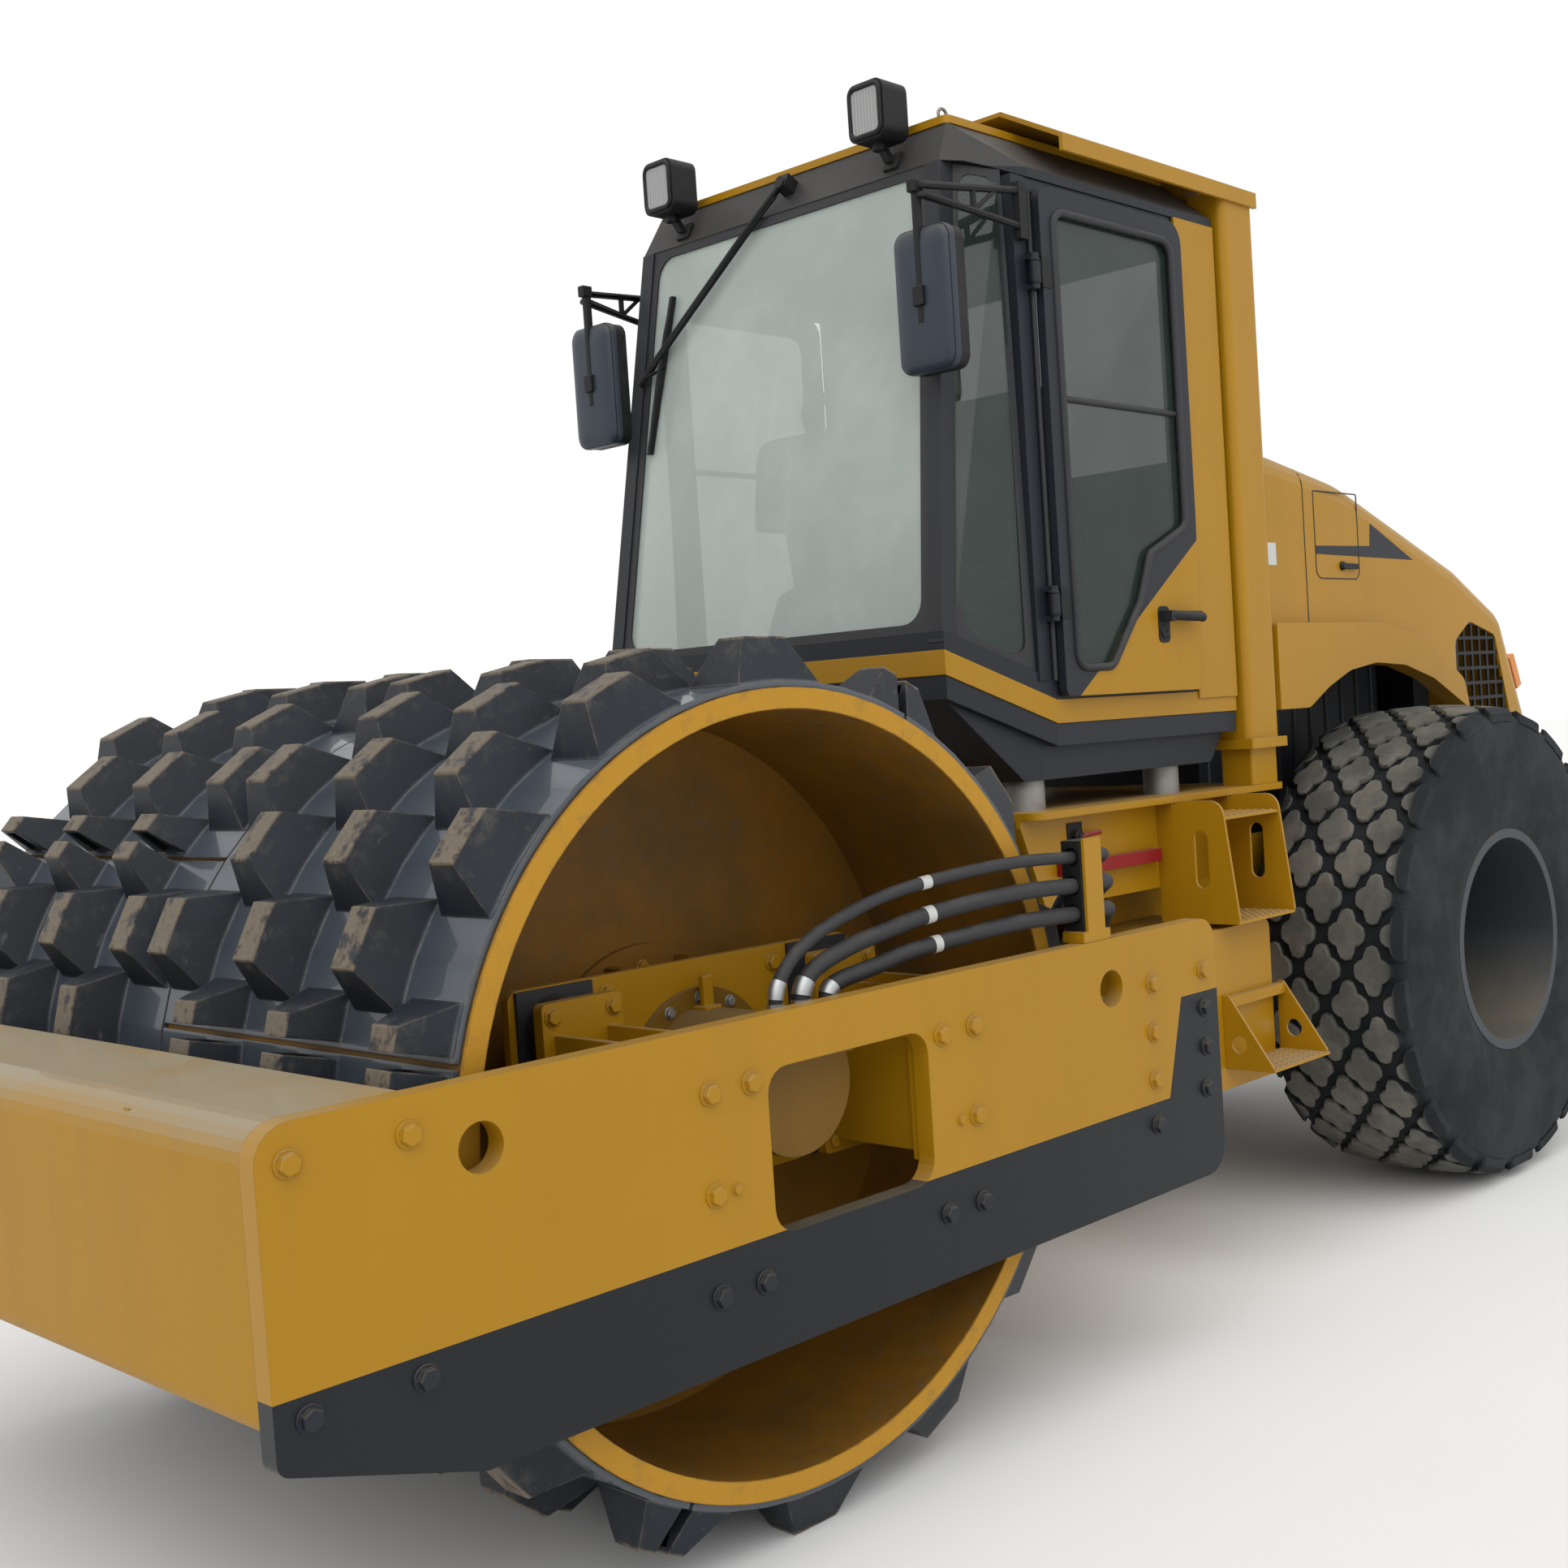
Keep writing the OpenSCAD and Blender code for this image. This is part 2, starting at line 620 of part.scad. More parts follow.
module cab_roof() {
    color(slate) from_rear() difference() {
        hull() {
            along_z(3010, fascia_low[1]) polygon([
                [-roof_half - 20, fascia_low[0]], [roof_half + 20, fascia_low[0]], [cab_side, door_post_y],
                [cab_side, cab_rear], [-cab_side, cab_rear], [-cab_side, door_post_y]
            ]);
            block(-roof_half, roof_half, fascia_high[0], cab_rear - 30, roof_top - 10, roof_top);
        }
        along_x(-cab_side - 5, cab_side + 5)
            polygon([[1000, 2900], [door_post_y, 2900], [door_post_y, 3010], [1150, head_z], [1000, head_z]]);
        hull() {
            block(-cab_side + 16, cab_side - 16, 1312, cab_rear - 16, 3005, 3011);
            block(-roof_half + 65, roof_half - 65, 1312, cab_rear - 50, roof_top - 28, roof_top - 24);
        }
    }
}

// pieces on the raked front of the roof: x across, y up the slope, z outwards
module on_fascia() {
    translate([0, fascia_low[0], fascia_low[1]])
        rotate([atan2(fascia_high[1] - fascia_low[1], fascia_high[0] - fascia_low[0]), 0, 0]) children();
}

module roof_edge() {
    color(yellow) from_rear() along_z(roof_top + 0.3, roof_top + 21) polygon(rounded([
        [-roof_half - 5, fascia_high[0] - 4, 20], [roof_half + 5, fascia_high[0] - 4, 20],
        [roof_half + 5, cab_rear - 25, 20], [-roof_half - 5, cab_rear - 25, 20]
    ]));
}

module windshield() {
    low = belt_at(post_at(nose_z + rail_height)[1] - 15) + rail_height + 0.3;
    high = head_z - 0.3;
    a = post_at(low);
    b = post_at(high);
    color(glass) from_rear() pane(
        [-a[0] + 25.3, a[1] - 15, low], [a[0] - 25.3, a[1] - 15, low],
        [b[0] - 25.3, b[1] - 15, high], [-b[0] + 25.3, b[1] - 15, high], [0, glass_thickness, 0]
    );
}

// pane with a slight twist between four corners
module twisted_pane(a, b, c, d, push) {
    polyhedron(
        points = [a, b, c, d, a + push, b + push, c + push, d + push],
        faces = [
            [0, 1, 2], [0, 2, 3], [4, 6, 5], [4, 7, 6],
            [1, 0, 4, 5], [2, 1, 5, 6], [3, 2, 6, 7], [0, 3, 7, 4]
        ]
    );
}

module corner_glass(side) {
    post_front = door_post_y - 60.5;
    foot = post_at(nose_z + rail_height);
    foot_y = foot[1] + 27.5;
    color(glass) from_rear() on_side(side) twisted_pane(
        [foot[0] + 7, foot_y, belt_at(foot_y) + rail_height + 0.9],
        [cab_side - 28, post_front, belt_at(post_front) + rail_height + 0.9],
        [cab_side - 49, post_front, head_z - 21.4],
        [post_head[0] + 15, post_head[1] + 27.2, head_z - 0.4],
        [glass_thickness, -glass_thickness * 0.15, 0]
    );
}

module rear_glass() {
    color(glass) from_rear() block(-cab_side + 55.3, cab_side - 55.3, cab_rear - 30, cab_rear - 30 + glass_thickness, 2000.3, 2969.4);
}

door_outline = [[1296, 1656, 20], [1925, 1656, 20], [1935, 2150, 30], [1935, 2985, 60], [1296, 2985, 40]];
door_window = [[1350, 1730, 40], [1500, 1730, 40], [1640, 1900, 30], [1700, 2040, 30], [1880, 2120, 40], [1880, 2925, 50], [1350, 2925, 40]];

module door(side) {
    color(slate) from_rear() on_side(side) {
        difference() {
            along_x(cab_side + 4, door_out) polygon(rounded(door_outline));
            along_x(cab_side, cab_side + 40) polygon(rounded(door_window));
        }
        block(door_out - 2, cab_side + 66, 1735, 1760, 1850, 1880);
        block(cab_side + 50, cab_side + 70, 1735, 1885, 1852, 1878);
        for (z = door_hinges) difference() {
            union() {
                block(cab_side + 12, door_out, hinge_axis[1], 1312, z - 26, z + 26);
                rod_z(z - 26, z + 26, hinge_axis[0], hinge_axis[1], 13);
            }
            rod_z(z - 30, z + 30, hinge_axis[0], hinge_axis[1], 8 + running_gap);
        }
    }
}

module door_glass(side) {
    color(glass) from_rear() on_side(side) along_x(cab_side + 12, cab_side + 12 + glass_thickness) polygon(rounded(door_window));
}

module seat() {
    color(seat_grey) from_rear() {
        along_z(1950, 2060) polygon(box_outline(-240, 240, 1480, 1930, 60));
        along_y(1900, 1990) polygon(box_outline(-230, 230, 2000, 2640, 90));
        block(-150, 150, 1560, 1860, sill_z - belt_height + 0.3, 1955);
        for (x = [-300, 300]) block(x - 40, x + 40, 1560, 1960, 2120, 2180);
        block(-340, 340, 1930, 1960, 2130, 2170);
    }
}

// instrument housing on its column, and the steering wheel behind it
module console() {
    floor_z = sill_z - belt_height + 0.5;
    color(slate) from_rear() {
        along_x(-130, 130) polygon([
            [1180, belt_at(1180) - belt_height + 0.5], [door_post_y, floor_z], [1330, floor_z],
            [1330, 2090], [1270, 2200], [1150, 2200], [1180, 2000]
        ]);
        along_y(1135, 1285) polygon(rounded([[-235, 2185, 15], [235, 2185, 15], [205, 2440, 70], [-205, 2440, 70]]));
        bar([0, 1300, 2130], [0, 1395, 2465], 60, 60);
        translate([0, 1395, 2465]) rotate([-24.6, 0, 0]) {
            rotate_extrude($fn = 32) translate([190, 0]) circle(r = 15, $fn = 16);
            cube([380, 40, 14], center = true);
        }
    }
}

// point in front of the windshield by d
function before_glass(x, z, d) = [x, post_at(z)[1] - 15 - d, z];

module wiper() {
    pivot = [13, 1096, 3122];
    color(black) from_rear() {
        on_fascia() block(-7, 33, 68, 108, 0.3, 40);
        bar(pivot, before_glass(-529, 2694, 26), 12, 12);
        bar(pivot + [-14, 0, -14], before_glass(-545, 2668, 26), 9, 9);
        bar(before_glass(-450, 2897, 12), before_glass(-524, 2443, 12), 12, 16);
        bar(before_glass(-480, 2690, 15), before_glass(-545, 2670, 26), 14, 14);
    }
}

module mirror_head(side) {
    rod_place = [667, 923];
    color(black) from_rear() on_side(side) {
        block(cab_side - 4.7, cab_side + 18, 1232, 1262, 2840, 2985);
        bar([cab_side + 9, 1247, 2965], [rod_place[0], rod_place[1], 2935], 20, 20);
        bar([cab_side + 9, 1247, 2870], [rod_place[0], rod_place[1], 2912], 16, 16);
        bar([rod_place[0], rod_place[1], 2945], [rod_place[0], rod_place[1], 2600], 18, 18);
        along_y(930, 985) polygon(box_outline(575, 760, 2482, 2834, 35));
    }
}

module work_light(side) {
    lamp_x = 423;
    color(black) from_rear() on_side(side) {
        along_y(1018, 1108) polygon(box_outline(lamp_x - 65, lamp_x + 65, 3125, 3275, 28));
        on_fascia() block(lamp_x - 25, lamp_x + 25, 30, 80, 0.3, 9);
        bar([lamp_x, 1099, 3082], [lamp_x, 1063, 3130], 22, 22);
    }
}

// ROLLOVER FRAME

module rollover_frame() {
    color(yellow) from_rear() {
        for (s = [-1, 1]) on_side(s) {
            along_z(1500, 3120) polygon(box_outline(615, 755, 2160, 2330, 25));
            along_z(1470, 1500) polygon(box_outline(595, 772, 2150, 2345, 10));
            along_z(1360, 1470) polygon(box_outline(630, 745, 2180, 2320, 10));
        }
        along_y(1400, 2335) polygon([
            [-765, 3090], [-765, 3135], [-560, 3240], [560, 3240], [765, 3135], [765, 3090],
            [753, 3090], [753, 3127], [556, 3228], [-556, 3228], [-753, 3127], [-753, 3090]
        ]);
        block(-615, 615, 2180, 2320, 3060, 3200);
    }
}

// HOOD

hood_edge = 70;
hood_outline = [
    [2350, 1100, 0], [4301, 1100, 0], [4301, 1330, 20],
    [4040, 1881, 120], [3690, 2047, 300], [2907, 2307, 600], [2500, 2375, 300], [2350, 2385, 10]
];
// arch over a tyre: angle from straight up, space over the tyre, corner radius
arch_points = [
    [-37.8, 232, 60], [-30.2, 215, 100], [-21.6, 199, 200], [-11.5, 171, 200], [0.6, 140, 200],
    [13.6, 115, 200], [31.2, 108, 200], [49.8, 150, 60], [62.9, 141, 0]
];
function over_tyre(p) = [
    axle_mid + (tyre_radius + p[1]) * sin(p[0]), axle_z + (tyre_radius + p[1]) * cos(p[0]), p[2]
];
arch_outline = concat(
    [[2200, over_tyre(arch_points[0])[1], 0]],
    [for (p = arch_points) over_tyre(p)],
    [[4400, over_tyre(arch_points[8])[1], 0], [4400, 1000, 0], [2200, 1000, 0]]
);
flare_outline = [
    [2350, 1540, 0], [3640, 1440, 20], [3580, 1640, 60], [3300, 1800, 200], [3000, 1845, 200], [2350, 1845, 10]
];

// hood above its arches, cut back by the skin t, with rounded long edges
module hood_body(t) {
    hull() for (a = [0:22.5:90])
        along_x(-hood_side + t + hood_edge * (1 - cos(a)), hood_side - t - hood_edge * (1 - cos(a)))
            offset(delta = -t - hood_edge * (1 - sin(a))) polygon(rounded(hood_outline));
}
grille_opening = [[3640, 1500, 30], [3920, 1440, 30], [4080, 1440, 40], [3960, 1800, 40], [3760, 1850, 60], [3640, 1780, 40]];

module hood() {
    color(yellow) from_rear() difference() {
        union() {
            difference() {
                union() {
                    hood_body(0);
                    for (s = [-1, 1]) on_side(s) along_x(hood_side - 8, hood_side + 60) polygon(rounded(flare_outline));
                }
                hood_body(hood_skin);
                along_x(-hood_side + hood_skin, hood_side - hood_skin)
                    polygon([[2300, 1400], [4280, 1090], [4280, 1320], [3960, 1700], [2300, 1700]]);
                along_x(-hood_side - 100, hood_side + 100) polygon(rounded(arch_outline));
                along_x(-hood_side - 5, hood_side + 5) polygon(rounded(grille_opening));
                for (s = [-1, 1], x = [350, 430])
                    block(s * x - 18, s * x + 18, 4200, 4320, 1190, hood_axis[1] + 32);
            }
            for (s = [-1, 1]) rod_x(s * 390 - 22, s * 390 + 22, hood_axis[0], hood_axis[1], 20);
        }
        for (s = [-1, 1]) rod_x(s * 390 - 60, s * 390 + 60, hood_axis[0], hood_axis[1], 12 + running_gap);
    }
}

module hood_grille(side) {
    color(black) from_rear() on_side(side) along_x(hood_side - hood_skin, hood_side - 4) difference() {
        polygon(rounded(grille_opening));
        for (k = [0:6], j = [0:6])
            translate([3665 + 60 * k, 1465 + 55 * j]) square([48, 43]);
        polygon(rounded(arch_outline));
    }
}

module tail_lamp(side) {
    color(orange) from_rear() on_side(side) translate([0, 4040, 1881]) rotate([atan2(261, 551), 0, 0])
        block(590, 670, 0.3, 40, -320, -190);
}

// HOSES AND SMALL PARTS ON THE FRONT FRAME

module hose_clamp() {
    color(black) from_drum() difference() {
        block(plate_in - 20, clamp_out - 9, 822, 898, plate_top + 26.3, 1320);
        for (p = hose_routes) rod_y(815, 905, hose_clamp_x, p[hose_clamp_point][2], hose_radius + 0.3);
    }
}

module clamp_bracket() {
    color(yellow) from_drum() {
        block(plate_in - 20, clamp_out, 810, 910, plate_top + 0.3, plate_top + 26);
        block(clamp_out - 8.7, clamp_out, 828, 892, plate_top + 16, 1325);
    }
}

// direction of a route at its point i
function route_way(p, i) = unit(p[min(i + 1, len(p) - 1)] - p[max(i - 1, 0)]);
function square_to(n, t) = unit(n - (n * t) * t);
function route_side(p, i) = square_to(i == 0 ? [1, 0, 0.1] : route_side(p, i - 1), route_way(p, i));

// round hose along the points p, with flat ends
module hose(p, r, sides) {
    rings = [for (i = [0:len(p) - 1])
        let (t = route_way(p, i), n = route_side(p, i), b = cross(t, n))
        [for (k = [0:sides - 1]) p[i] + r * (cos(360 * k / sides) * n + sin(360 * k / sides) * b)]];
    last = (len(p) - 1) * sides;
    polyhedron(
        points = [for (ring = rings) each ring],
        faces = concat(
            [[for (k = [0:sides - 1]) k]],
            [[for (k = [sides - 1:-1:0]) last + k]],
            [for (i = [0:len(p) - 2], k = [0:sides - 1])
                [i * sides + k, (i + 1) * sides + k, (i + 1) * sides + (k + 1) % sides, i * sides + (k + 1) % sides]]
        )
    );
}

module hoses() {
    color(rubber) from_drum() translate([plate_in, 0, 0]) for (p = hose_routes) hose(p, hose_radius, 10);
}

module lock_bar() {
    color(red) from_rear() block(690.3, 725, 1290, 1720, 1180, 1215);
}

side_plate(1);  // side_plate_left
side_plate(-1);  // side_plate_right
front_beam();
rear_crossbeam();
for (s = [-1, 1]) drum_carrier(s);  // drum_carriers
for (s = [-1, 1]) rubber_mounts(s);
for (s = [-1, 1]) drum_drive(s);  // drum_drives
hose_clamp();
clamp_bracket();
hoses();
drum_shell();
padfoot_shells(1);  // padfoot_shells_left
padfoot_shells(-1);  // padfoot_shells_right
centre_joint();
cylinder_barrel(1);  // cylinder_barrel_left
cylinder_barrel(-1);  // cylinder_barrel_right
cylinder_rod(1);  // cylinder_rod_left
cylinder_rod(-1);  // cylinder_rod_right
rear_frame();
for (s = [-1, 1]) side_tank(s);  // side_tanks
for (s = [-1, 1]) steps(s);
lock_bar();
rear_axle();
engine_block();
rear_bumper();
isolators();
tyre(1);  // tyre_left
tyre(-1);  // tyre_right
rim(1);  // rim_left
rim(-1);  // rim_right
cab_tub();
cab_belt();
cab_frame();
cab_roof();
roof_edge();
windshield();
for (s = [-1, 1]) corner_glass(s);
rear_glass();
door(1);  // door_left
door(-1);  // door_right
door_glass(1);  // door_glass_left
door_glass(-1);  // door_glass_right
seat();
console();
wiper();
for (s = [-1, 1]) mirror_head(s);  // mirrors
for (s = [-1, 1]) work_light(s);  // work_lights
rollover_frame();
hood();
for (s = [-1, 1]) hood_grille(s);  // hood_grilles
for (s = [-1, 1]) tail_lamp(s);  // tail_lamps
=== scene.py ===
"""Looks of the padfoot roller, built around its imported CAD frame.

Metres. The front faces -Y, +X is the left side of the machine, Z is up.
Most pieces are placed by at(x, y, z): millimetres, with y counted from the drum axle,
the same measure that the CAD source uses.
"""
import random
from math import cos, pi, radians, sin, tan

import bmesh
import bpy
from mathutils import Matrix, Vector

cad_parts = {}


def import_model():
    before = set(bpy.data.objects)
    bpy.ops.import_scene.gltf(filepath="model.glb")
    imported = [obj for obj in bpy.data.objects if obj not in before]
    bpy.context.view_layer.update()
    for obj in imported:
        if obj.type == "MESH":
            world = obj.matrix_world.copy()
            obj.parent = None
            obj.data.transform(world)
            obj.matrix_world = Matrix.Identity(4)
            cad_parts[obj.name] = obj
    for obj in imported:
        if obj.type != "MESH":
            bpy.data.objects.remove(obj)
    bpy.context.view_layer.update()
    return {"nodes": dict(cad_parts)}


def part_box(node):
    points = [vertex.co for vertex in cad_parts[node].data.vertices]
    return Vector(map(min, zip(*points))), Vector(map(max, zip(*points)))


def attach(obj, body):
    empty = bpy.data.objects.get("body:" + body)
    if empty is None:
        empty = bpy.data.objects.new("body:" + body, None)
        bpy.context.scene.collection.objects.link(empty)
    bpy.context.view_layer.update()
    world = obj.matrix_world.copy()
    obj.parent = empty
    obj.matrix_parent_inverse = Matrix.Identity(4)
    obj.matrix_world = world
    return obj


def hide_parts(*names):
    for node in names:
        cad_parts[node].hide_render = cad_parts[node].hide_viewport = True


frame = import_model()
nodes = frame["nodes"]

# ---- places taken from the frame

drum_low, drum_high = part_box("drum_shell")
shell_low, shell_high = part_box("padfoot_shells_left")
DRUM = (drum_low + drum_high) / 2
DRUM_END = drum_high.x * 1000
TIP_RADIUS = (shell_high.z - shell_low.z) / 2
HUB_Z = 904  # height of the drum axle in the CAD source
PLATE_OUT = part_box("side_plate_left")[1].x * 1000
CARRIER_X = DRUM_END - 353
WEB_X = DRUM_END - 525
CAB_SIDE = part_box("cab_belt")[1].x * 1000 - 6
DOOR_OUT = CAB_SIDE + 30
HOOD_SIDE = 690
SIDES = ((1, "left"), (-1, "right"))


def at(x, y, z):
    """Point given in millimetres, y from the drum axle, z for the CAD's own drum height."""
    return Vector((x / 1000, DRUM.y + y / 1000, DRUM.z + (z - HUB_Z) / 1000))


def rgb(red, green, blue):
    """Linear colour of an sRGB colour given as 0 to 255."""
    def linear(c):
        c = c / 255
        return c / 12.92 if c <= 0.04045 else ((c + 0.055) / 1.055) ** 2.4
    return (linear(red), linear(green), linear(blue), 1)


YELLOW = rgb(168, 123, 15)
SLATE = rgb(31, 35, 42)
BLACK = rgb(20, 21, 23)
DUST = rgb(158, 145, 120)
WORN = rgb(112, 98, 78)
GRIME_TINT = (0.80, 0.78, 0.74, 1)


# ---- shader maths

def operator(operation, swapped=False):
    """Method that adds a Math node; swapped, the other operand comes first."""
    def method(self, other):
        return self.maths(operation, *((other, self) if swapped else (self, other)))
    return method


class Sock:
    """One output socket. Operators on it add Math nodes; make() adds any other node."""

    __add__ = __radd__ = operator("ADD")
    __mul__ = __rmul__ = operator("MULTIPLY")
    __sub__ = operator("SUBTRACT")
    __rsub__ = operator("SUBTRACT", swapped=True)
    __pow__ = operator("POWER")
    __gt__ = operator("GREATER_THAN")
    __lt__ = operator("LESS_THAN")

    def __init__(self, tree, socket):
        self.tree = tree
        self.socket = socket

    def make(self, kind, settings=None, links=None, out=0):
        """Output of a new shader node: its settings first, then the values or links of its sockets."""
        node = self.tree.nodes.new("ShaderNode" + kind)
        for key, value in (settings or {}).items():
            setattr(node, key, value)
        for key, value in (links or {}).items():
            target = node.inputs[key]
            if isinstance(value, Sock):
                self.tree.links.new(value.socket, target)
            else:
                target.default_value = value
        return Sock(self.tree, node.outputs[out])

    def maths(self, operation, *values):
        return self.make("Math", {"operation": operation}, dict(enumerate(values)))

    def __abs__(self):
        return self.maths("ABSOLUTE", self)

    def clamp(self):
        return self.make("Clamp", None, {0: self})

    def fade(self, low, high):
        """0 below low, 1 above high, smooth between."""
        settings = {"interpolation_type": "SMOOTHSTEP"}
        return self.make("MapRange", settings, {0: self, 1: low, 2: high})


class Finish:
    """A new material with its Principled shader and the sources that the finishes share."""

    def __init__(self, name, roughness=0.5, metallic=0.0):
        self.material = bpy.data.materials.new(name)
        self.material.use_nodes = True
        self.tree = self.material.node_tree
        self.shader = self.tree.nodes["Principled BSDF"]
        self.set(Roughness=roughness, Metallic=metallic)
        self.make = Sock(self.tree, None).make
        self.spot = self.make("TexCoord", out="Object")
        self.x, self.y, self.z = (
            self.make("SeparateXYZ", None, {0: self.spot}, out=k) for k in range(3)
        )

    def noise(self, scale, detail=4, roughness=0.6, stretch=(1, 1, 1)):
        spot = self.make("Mapping", None, {"Vector": self.spot, "Scale": stretch})
        links = {"Vector": spot, "Scale": scale, "Detail": detail, "Roughness": roughness}
        return self.make("TexNoise", None, links)

    def cells(self, scale):
        return self.make("TexVoronoi", None, {"Vector": self.spot, "Scale": scale})

    def mix(self, factor, a, b):
        return self.make("Mix", {"data_type": "RGBA"}, {0: factor, 6: a, 7: b}, out=2)

    def upward(self):
        """1 where the surface faces straight up, 0 where it faces sideways or down."""
        normal = self.make("NewGeometry", out="Normal")
        return self.make("SeparateXYZ", None, {0: normal}, out=2).clamp()

    def edges(self, radius):
        """1 along sharp outer edges, 0 on open faces; also returns the softened normal."""
        soft = self.make("Bevel", {"samples": 4}, {"Radius": radius})
        flat = self.make("NewGeometry", out="Normal")
        settings = {"operation": "DOT_PRODUCT"}
        dot = self.make("VectorMath", settings, {0: soft, 1: flat}, out="Value")
        return (1 - dot).fade(0.02, 0.22), soft

    def bump(self, height, strength, distance=0.002, normal=None):
        links = {"Height": height, "Strength": strength, "Distance": distance}
        if normal:
            links["Normal"] = normal
        self.wire("Normal", self.make("Bump", None, links))

    def colour(self, value):
        self.wire("Base Color", value)

    def rough(self, value):
        self.wire("Roughness", value.clamp())

    def wire(self, socket, value):
        self.tree.links.new(value.socket, self.shader.inputs[socket])

    def set(self, **values):
        for key, value in values.items():
            self.shader.inputs[key.replace("_", " ")].default_value = value
        return self


def from_axle(f, axle):
    """Distance of the shaded point from an axle along x."""
    dy = f.y - axle.y
    dz = f.z - axle.z
    return (dy * dy + dz * dz) ** 0.5


def cad_measures(f):
    """The shaded point's y and z in millimetres, as at() takes them."""
    return (f.y - DRUM.y) * 1000, (f.z - DRUM.z) * 1000 + HUB_Z


def painted(
    name, colour, gloss=0.34, dust=0.35, wear=0.5, second=None, second_where=None,
    bevel=0.003, grime=0.25, shine=0.28, coat=0.0,
):
    """Sprayed machine paint: slight mottling, dust on what faces up (on the front beam so heavy that it is also a
    painted reflection of the sky), rubbed edges, orange peel.
    """
    f = Finish(name)
    f.set(Specular_IOR_Level=shine)
    broad = f.noise(1.7, 5)
    streaks = f.noise(9, 4, 0.6, (1, 1, 0.12))
    grain = f.noise(140, 2)
    base = colour
    if second:
        base = f.mix(second_where(f), colour, second)
    multiply = {"data_type": "RGBA", "blend_type": "MULTIPLY"}
    shade = f.make("Mix", multiply, {0: 1.0, 6: base, 7: GRIME_TINT}, out=2)
    dirt = broad.fade(0.35, 0.75) * 0.5 + streaks.fade(0.45, 0.8) * 0.5
    base = f.mix(dirt * grime * 2, base, shade)
    # pale on faces that look up: dust, which on the front beam is also a painted reflection of the sky
    settled_dust_and_sheen = f.upward() * (0.6 + broad.fade(0.3, 0.7)) * dust
    specks = streaks.fade(0.55, 0.9) * dust * 0.12 + grain.fade(0.55, 0.9) * dust * 0.06
    dusty = (settled_dust_and_sheen + specks).clamp()
    base = f.mix(dusty, base, DUST)
    rub, soft = f.edges(bevel)
    rubbed = (rub * broad.fade(0.42, 0.62) * wear).clamp()
    f.colour(f.mix(rubbed, base, WORN))
    f.rough(gloss + dusty * 0.5 + grain * 0.10 + rubbed * 0.2)
    if coat:
        f.wire("Coat Weight", (f.upward() * coat).clamp())
    f.bump(grain + streaks * 0.4, 0.06, 0.002, soft)
    return f.material


# the dark band on the side plates: its top, and where and how steeply it climbs at the rear
BAND_Z = 667
BAND_REAR_Y = 1106
BAND_REAR_SLOPE = 0.294
BAND_REAR_TOP_Z = 903

# (y, z) at the two ends of the line over the yellow part of a door
PANEL_FRONT = (1330.0, 1640.0)
PANEL_REAR = (1935.0, 2085.0)


def below_paint_line(f):
    """Dark lower part of the side plates, which climbs along the rear edge."""
    y, z = cad_measures(f)
    low = z < BAND_Z
    climb = (y > BAND_REAR_Y + (z - BAND_Z) * BAND_REAR_SLOPE) * (z < BAND_REAR_TOP_Z)
    return low.maths("MAXIMUM", low, climb)


def door_panel(f):
    """Yellow rear lower corner of a door, under a slanting line, on its outer skin."""
    y, z = cad_measures(f)
    ends = {0: y, 1: PANEL_FRONT[0], 2: PANEL_REAR[0], 3: PANEL_FRONT[1], 4: PANEL_REAR[1]}
    line = y.make("MapRange", {"interpolation_type": "LINEAR"}, ends)
    x = abs(f.x)
    return (z < line) * (x > (CAB_SIDE + 5) / 1000) * (x < (DOOR_OUT + 1) / 1000)


def black_plastic():
    f = Finish("Moulded black plastic")
    f.set(Specular_IOR_Level=0.3)
    pits = f.cells(900)
    broad = f.noise(6, 4)
    _, soft = f.edges(0.002)
    dusty = (f.upward() * 0.35 + broad.fade(0.5, 0.8) * 0.15).clamp()
    f.colour(f.mix(dusty, BLACK, rgb(96, 92, 86)))
    f.rough(0.5 + broad * 0.15 + dusty * 0.3)
    f.bump(pits, 0.15, 0.0006, soft)
    return f.material


def hose_rubber():
    f = Finish("Woven hose rubber")
    weave = f.noise(420, 2, 0.7)
    broad = f.noise(12, 4)
    dusty = (f.upward() * broad.fade(0.3, 0.8) * 0.5).clamp()
    f.colour(f.mix(dusty, rgb(36, 37, 40), rgb(100, 96, 90)))
    f.rough(0.55 + broad * 0.2)
    f.bump(weave, 0.4, 0.001)
    return f.material


def tyre_rubber(axle):
    """Dark rubber whose tread blocks are dusty on top, with painted shade darkening the grooves between them."""
    f = Finish("Tyre rubber")
    f.set(Specular_IOR_Level=0.25)
    radius = from_axle(f, axle)
    top = radius.fade(axle.radius - 0.021, axle.radius - 0.013)
    broad = f.noise(5, 5, 0.65)
    grain = f.noise(160, 3, 0.7)
    side = f.mix(broad.fade(0.35, 0.7), rgb(26, 29, 32), rgb(46, 49, 51))
    block = f.mix(broad.fade(0.35, 0.7), rgb(84, 84, 79), rgb(118, 115, 107))
    base = f.mix((top * (0.75 + grain * 0.4)).clamp(), side, block)
    # painted shade: the groove floors and the sides of the blocks are darkened where shade falls between the blocks
    groove_shade = radius.fade(axle.radius - 0.05, axle.radius - 0.02) * (1 - top)
    base = f.mix(groove_shade * 0.6, base, rgb(24, 28, 31))
    f.colour(base)
    f.rough(0.72 + grain * 0.2)
    f.bump(grain + broad * 0.5, 0.25, 0.003)
    return f.material


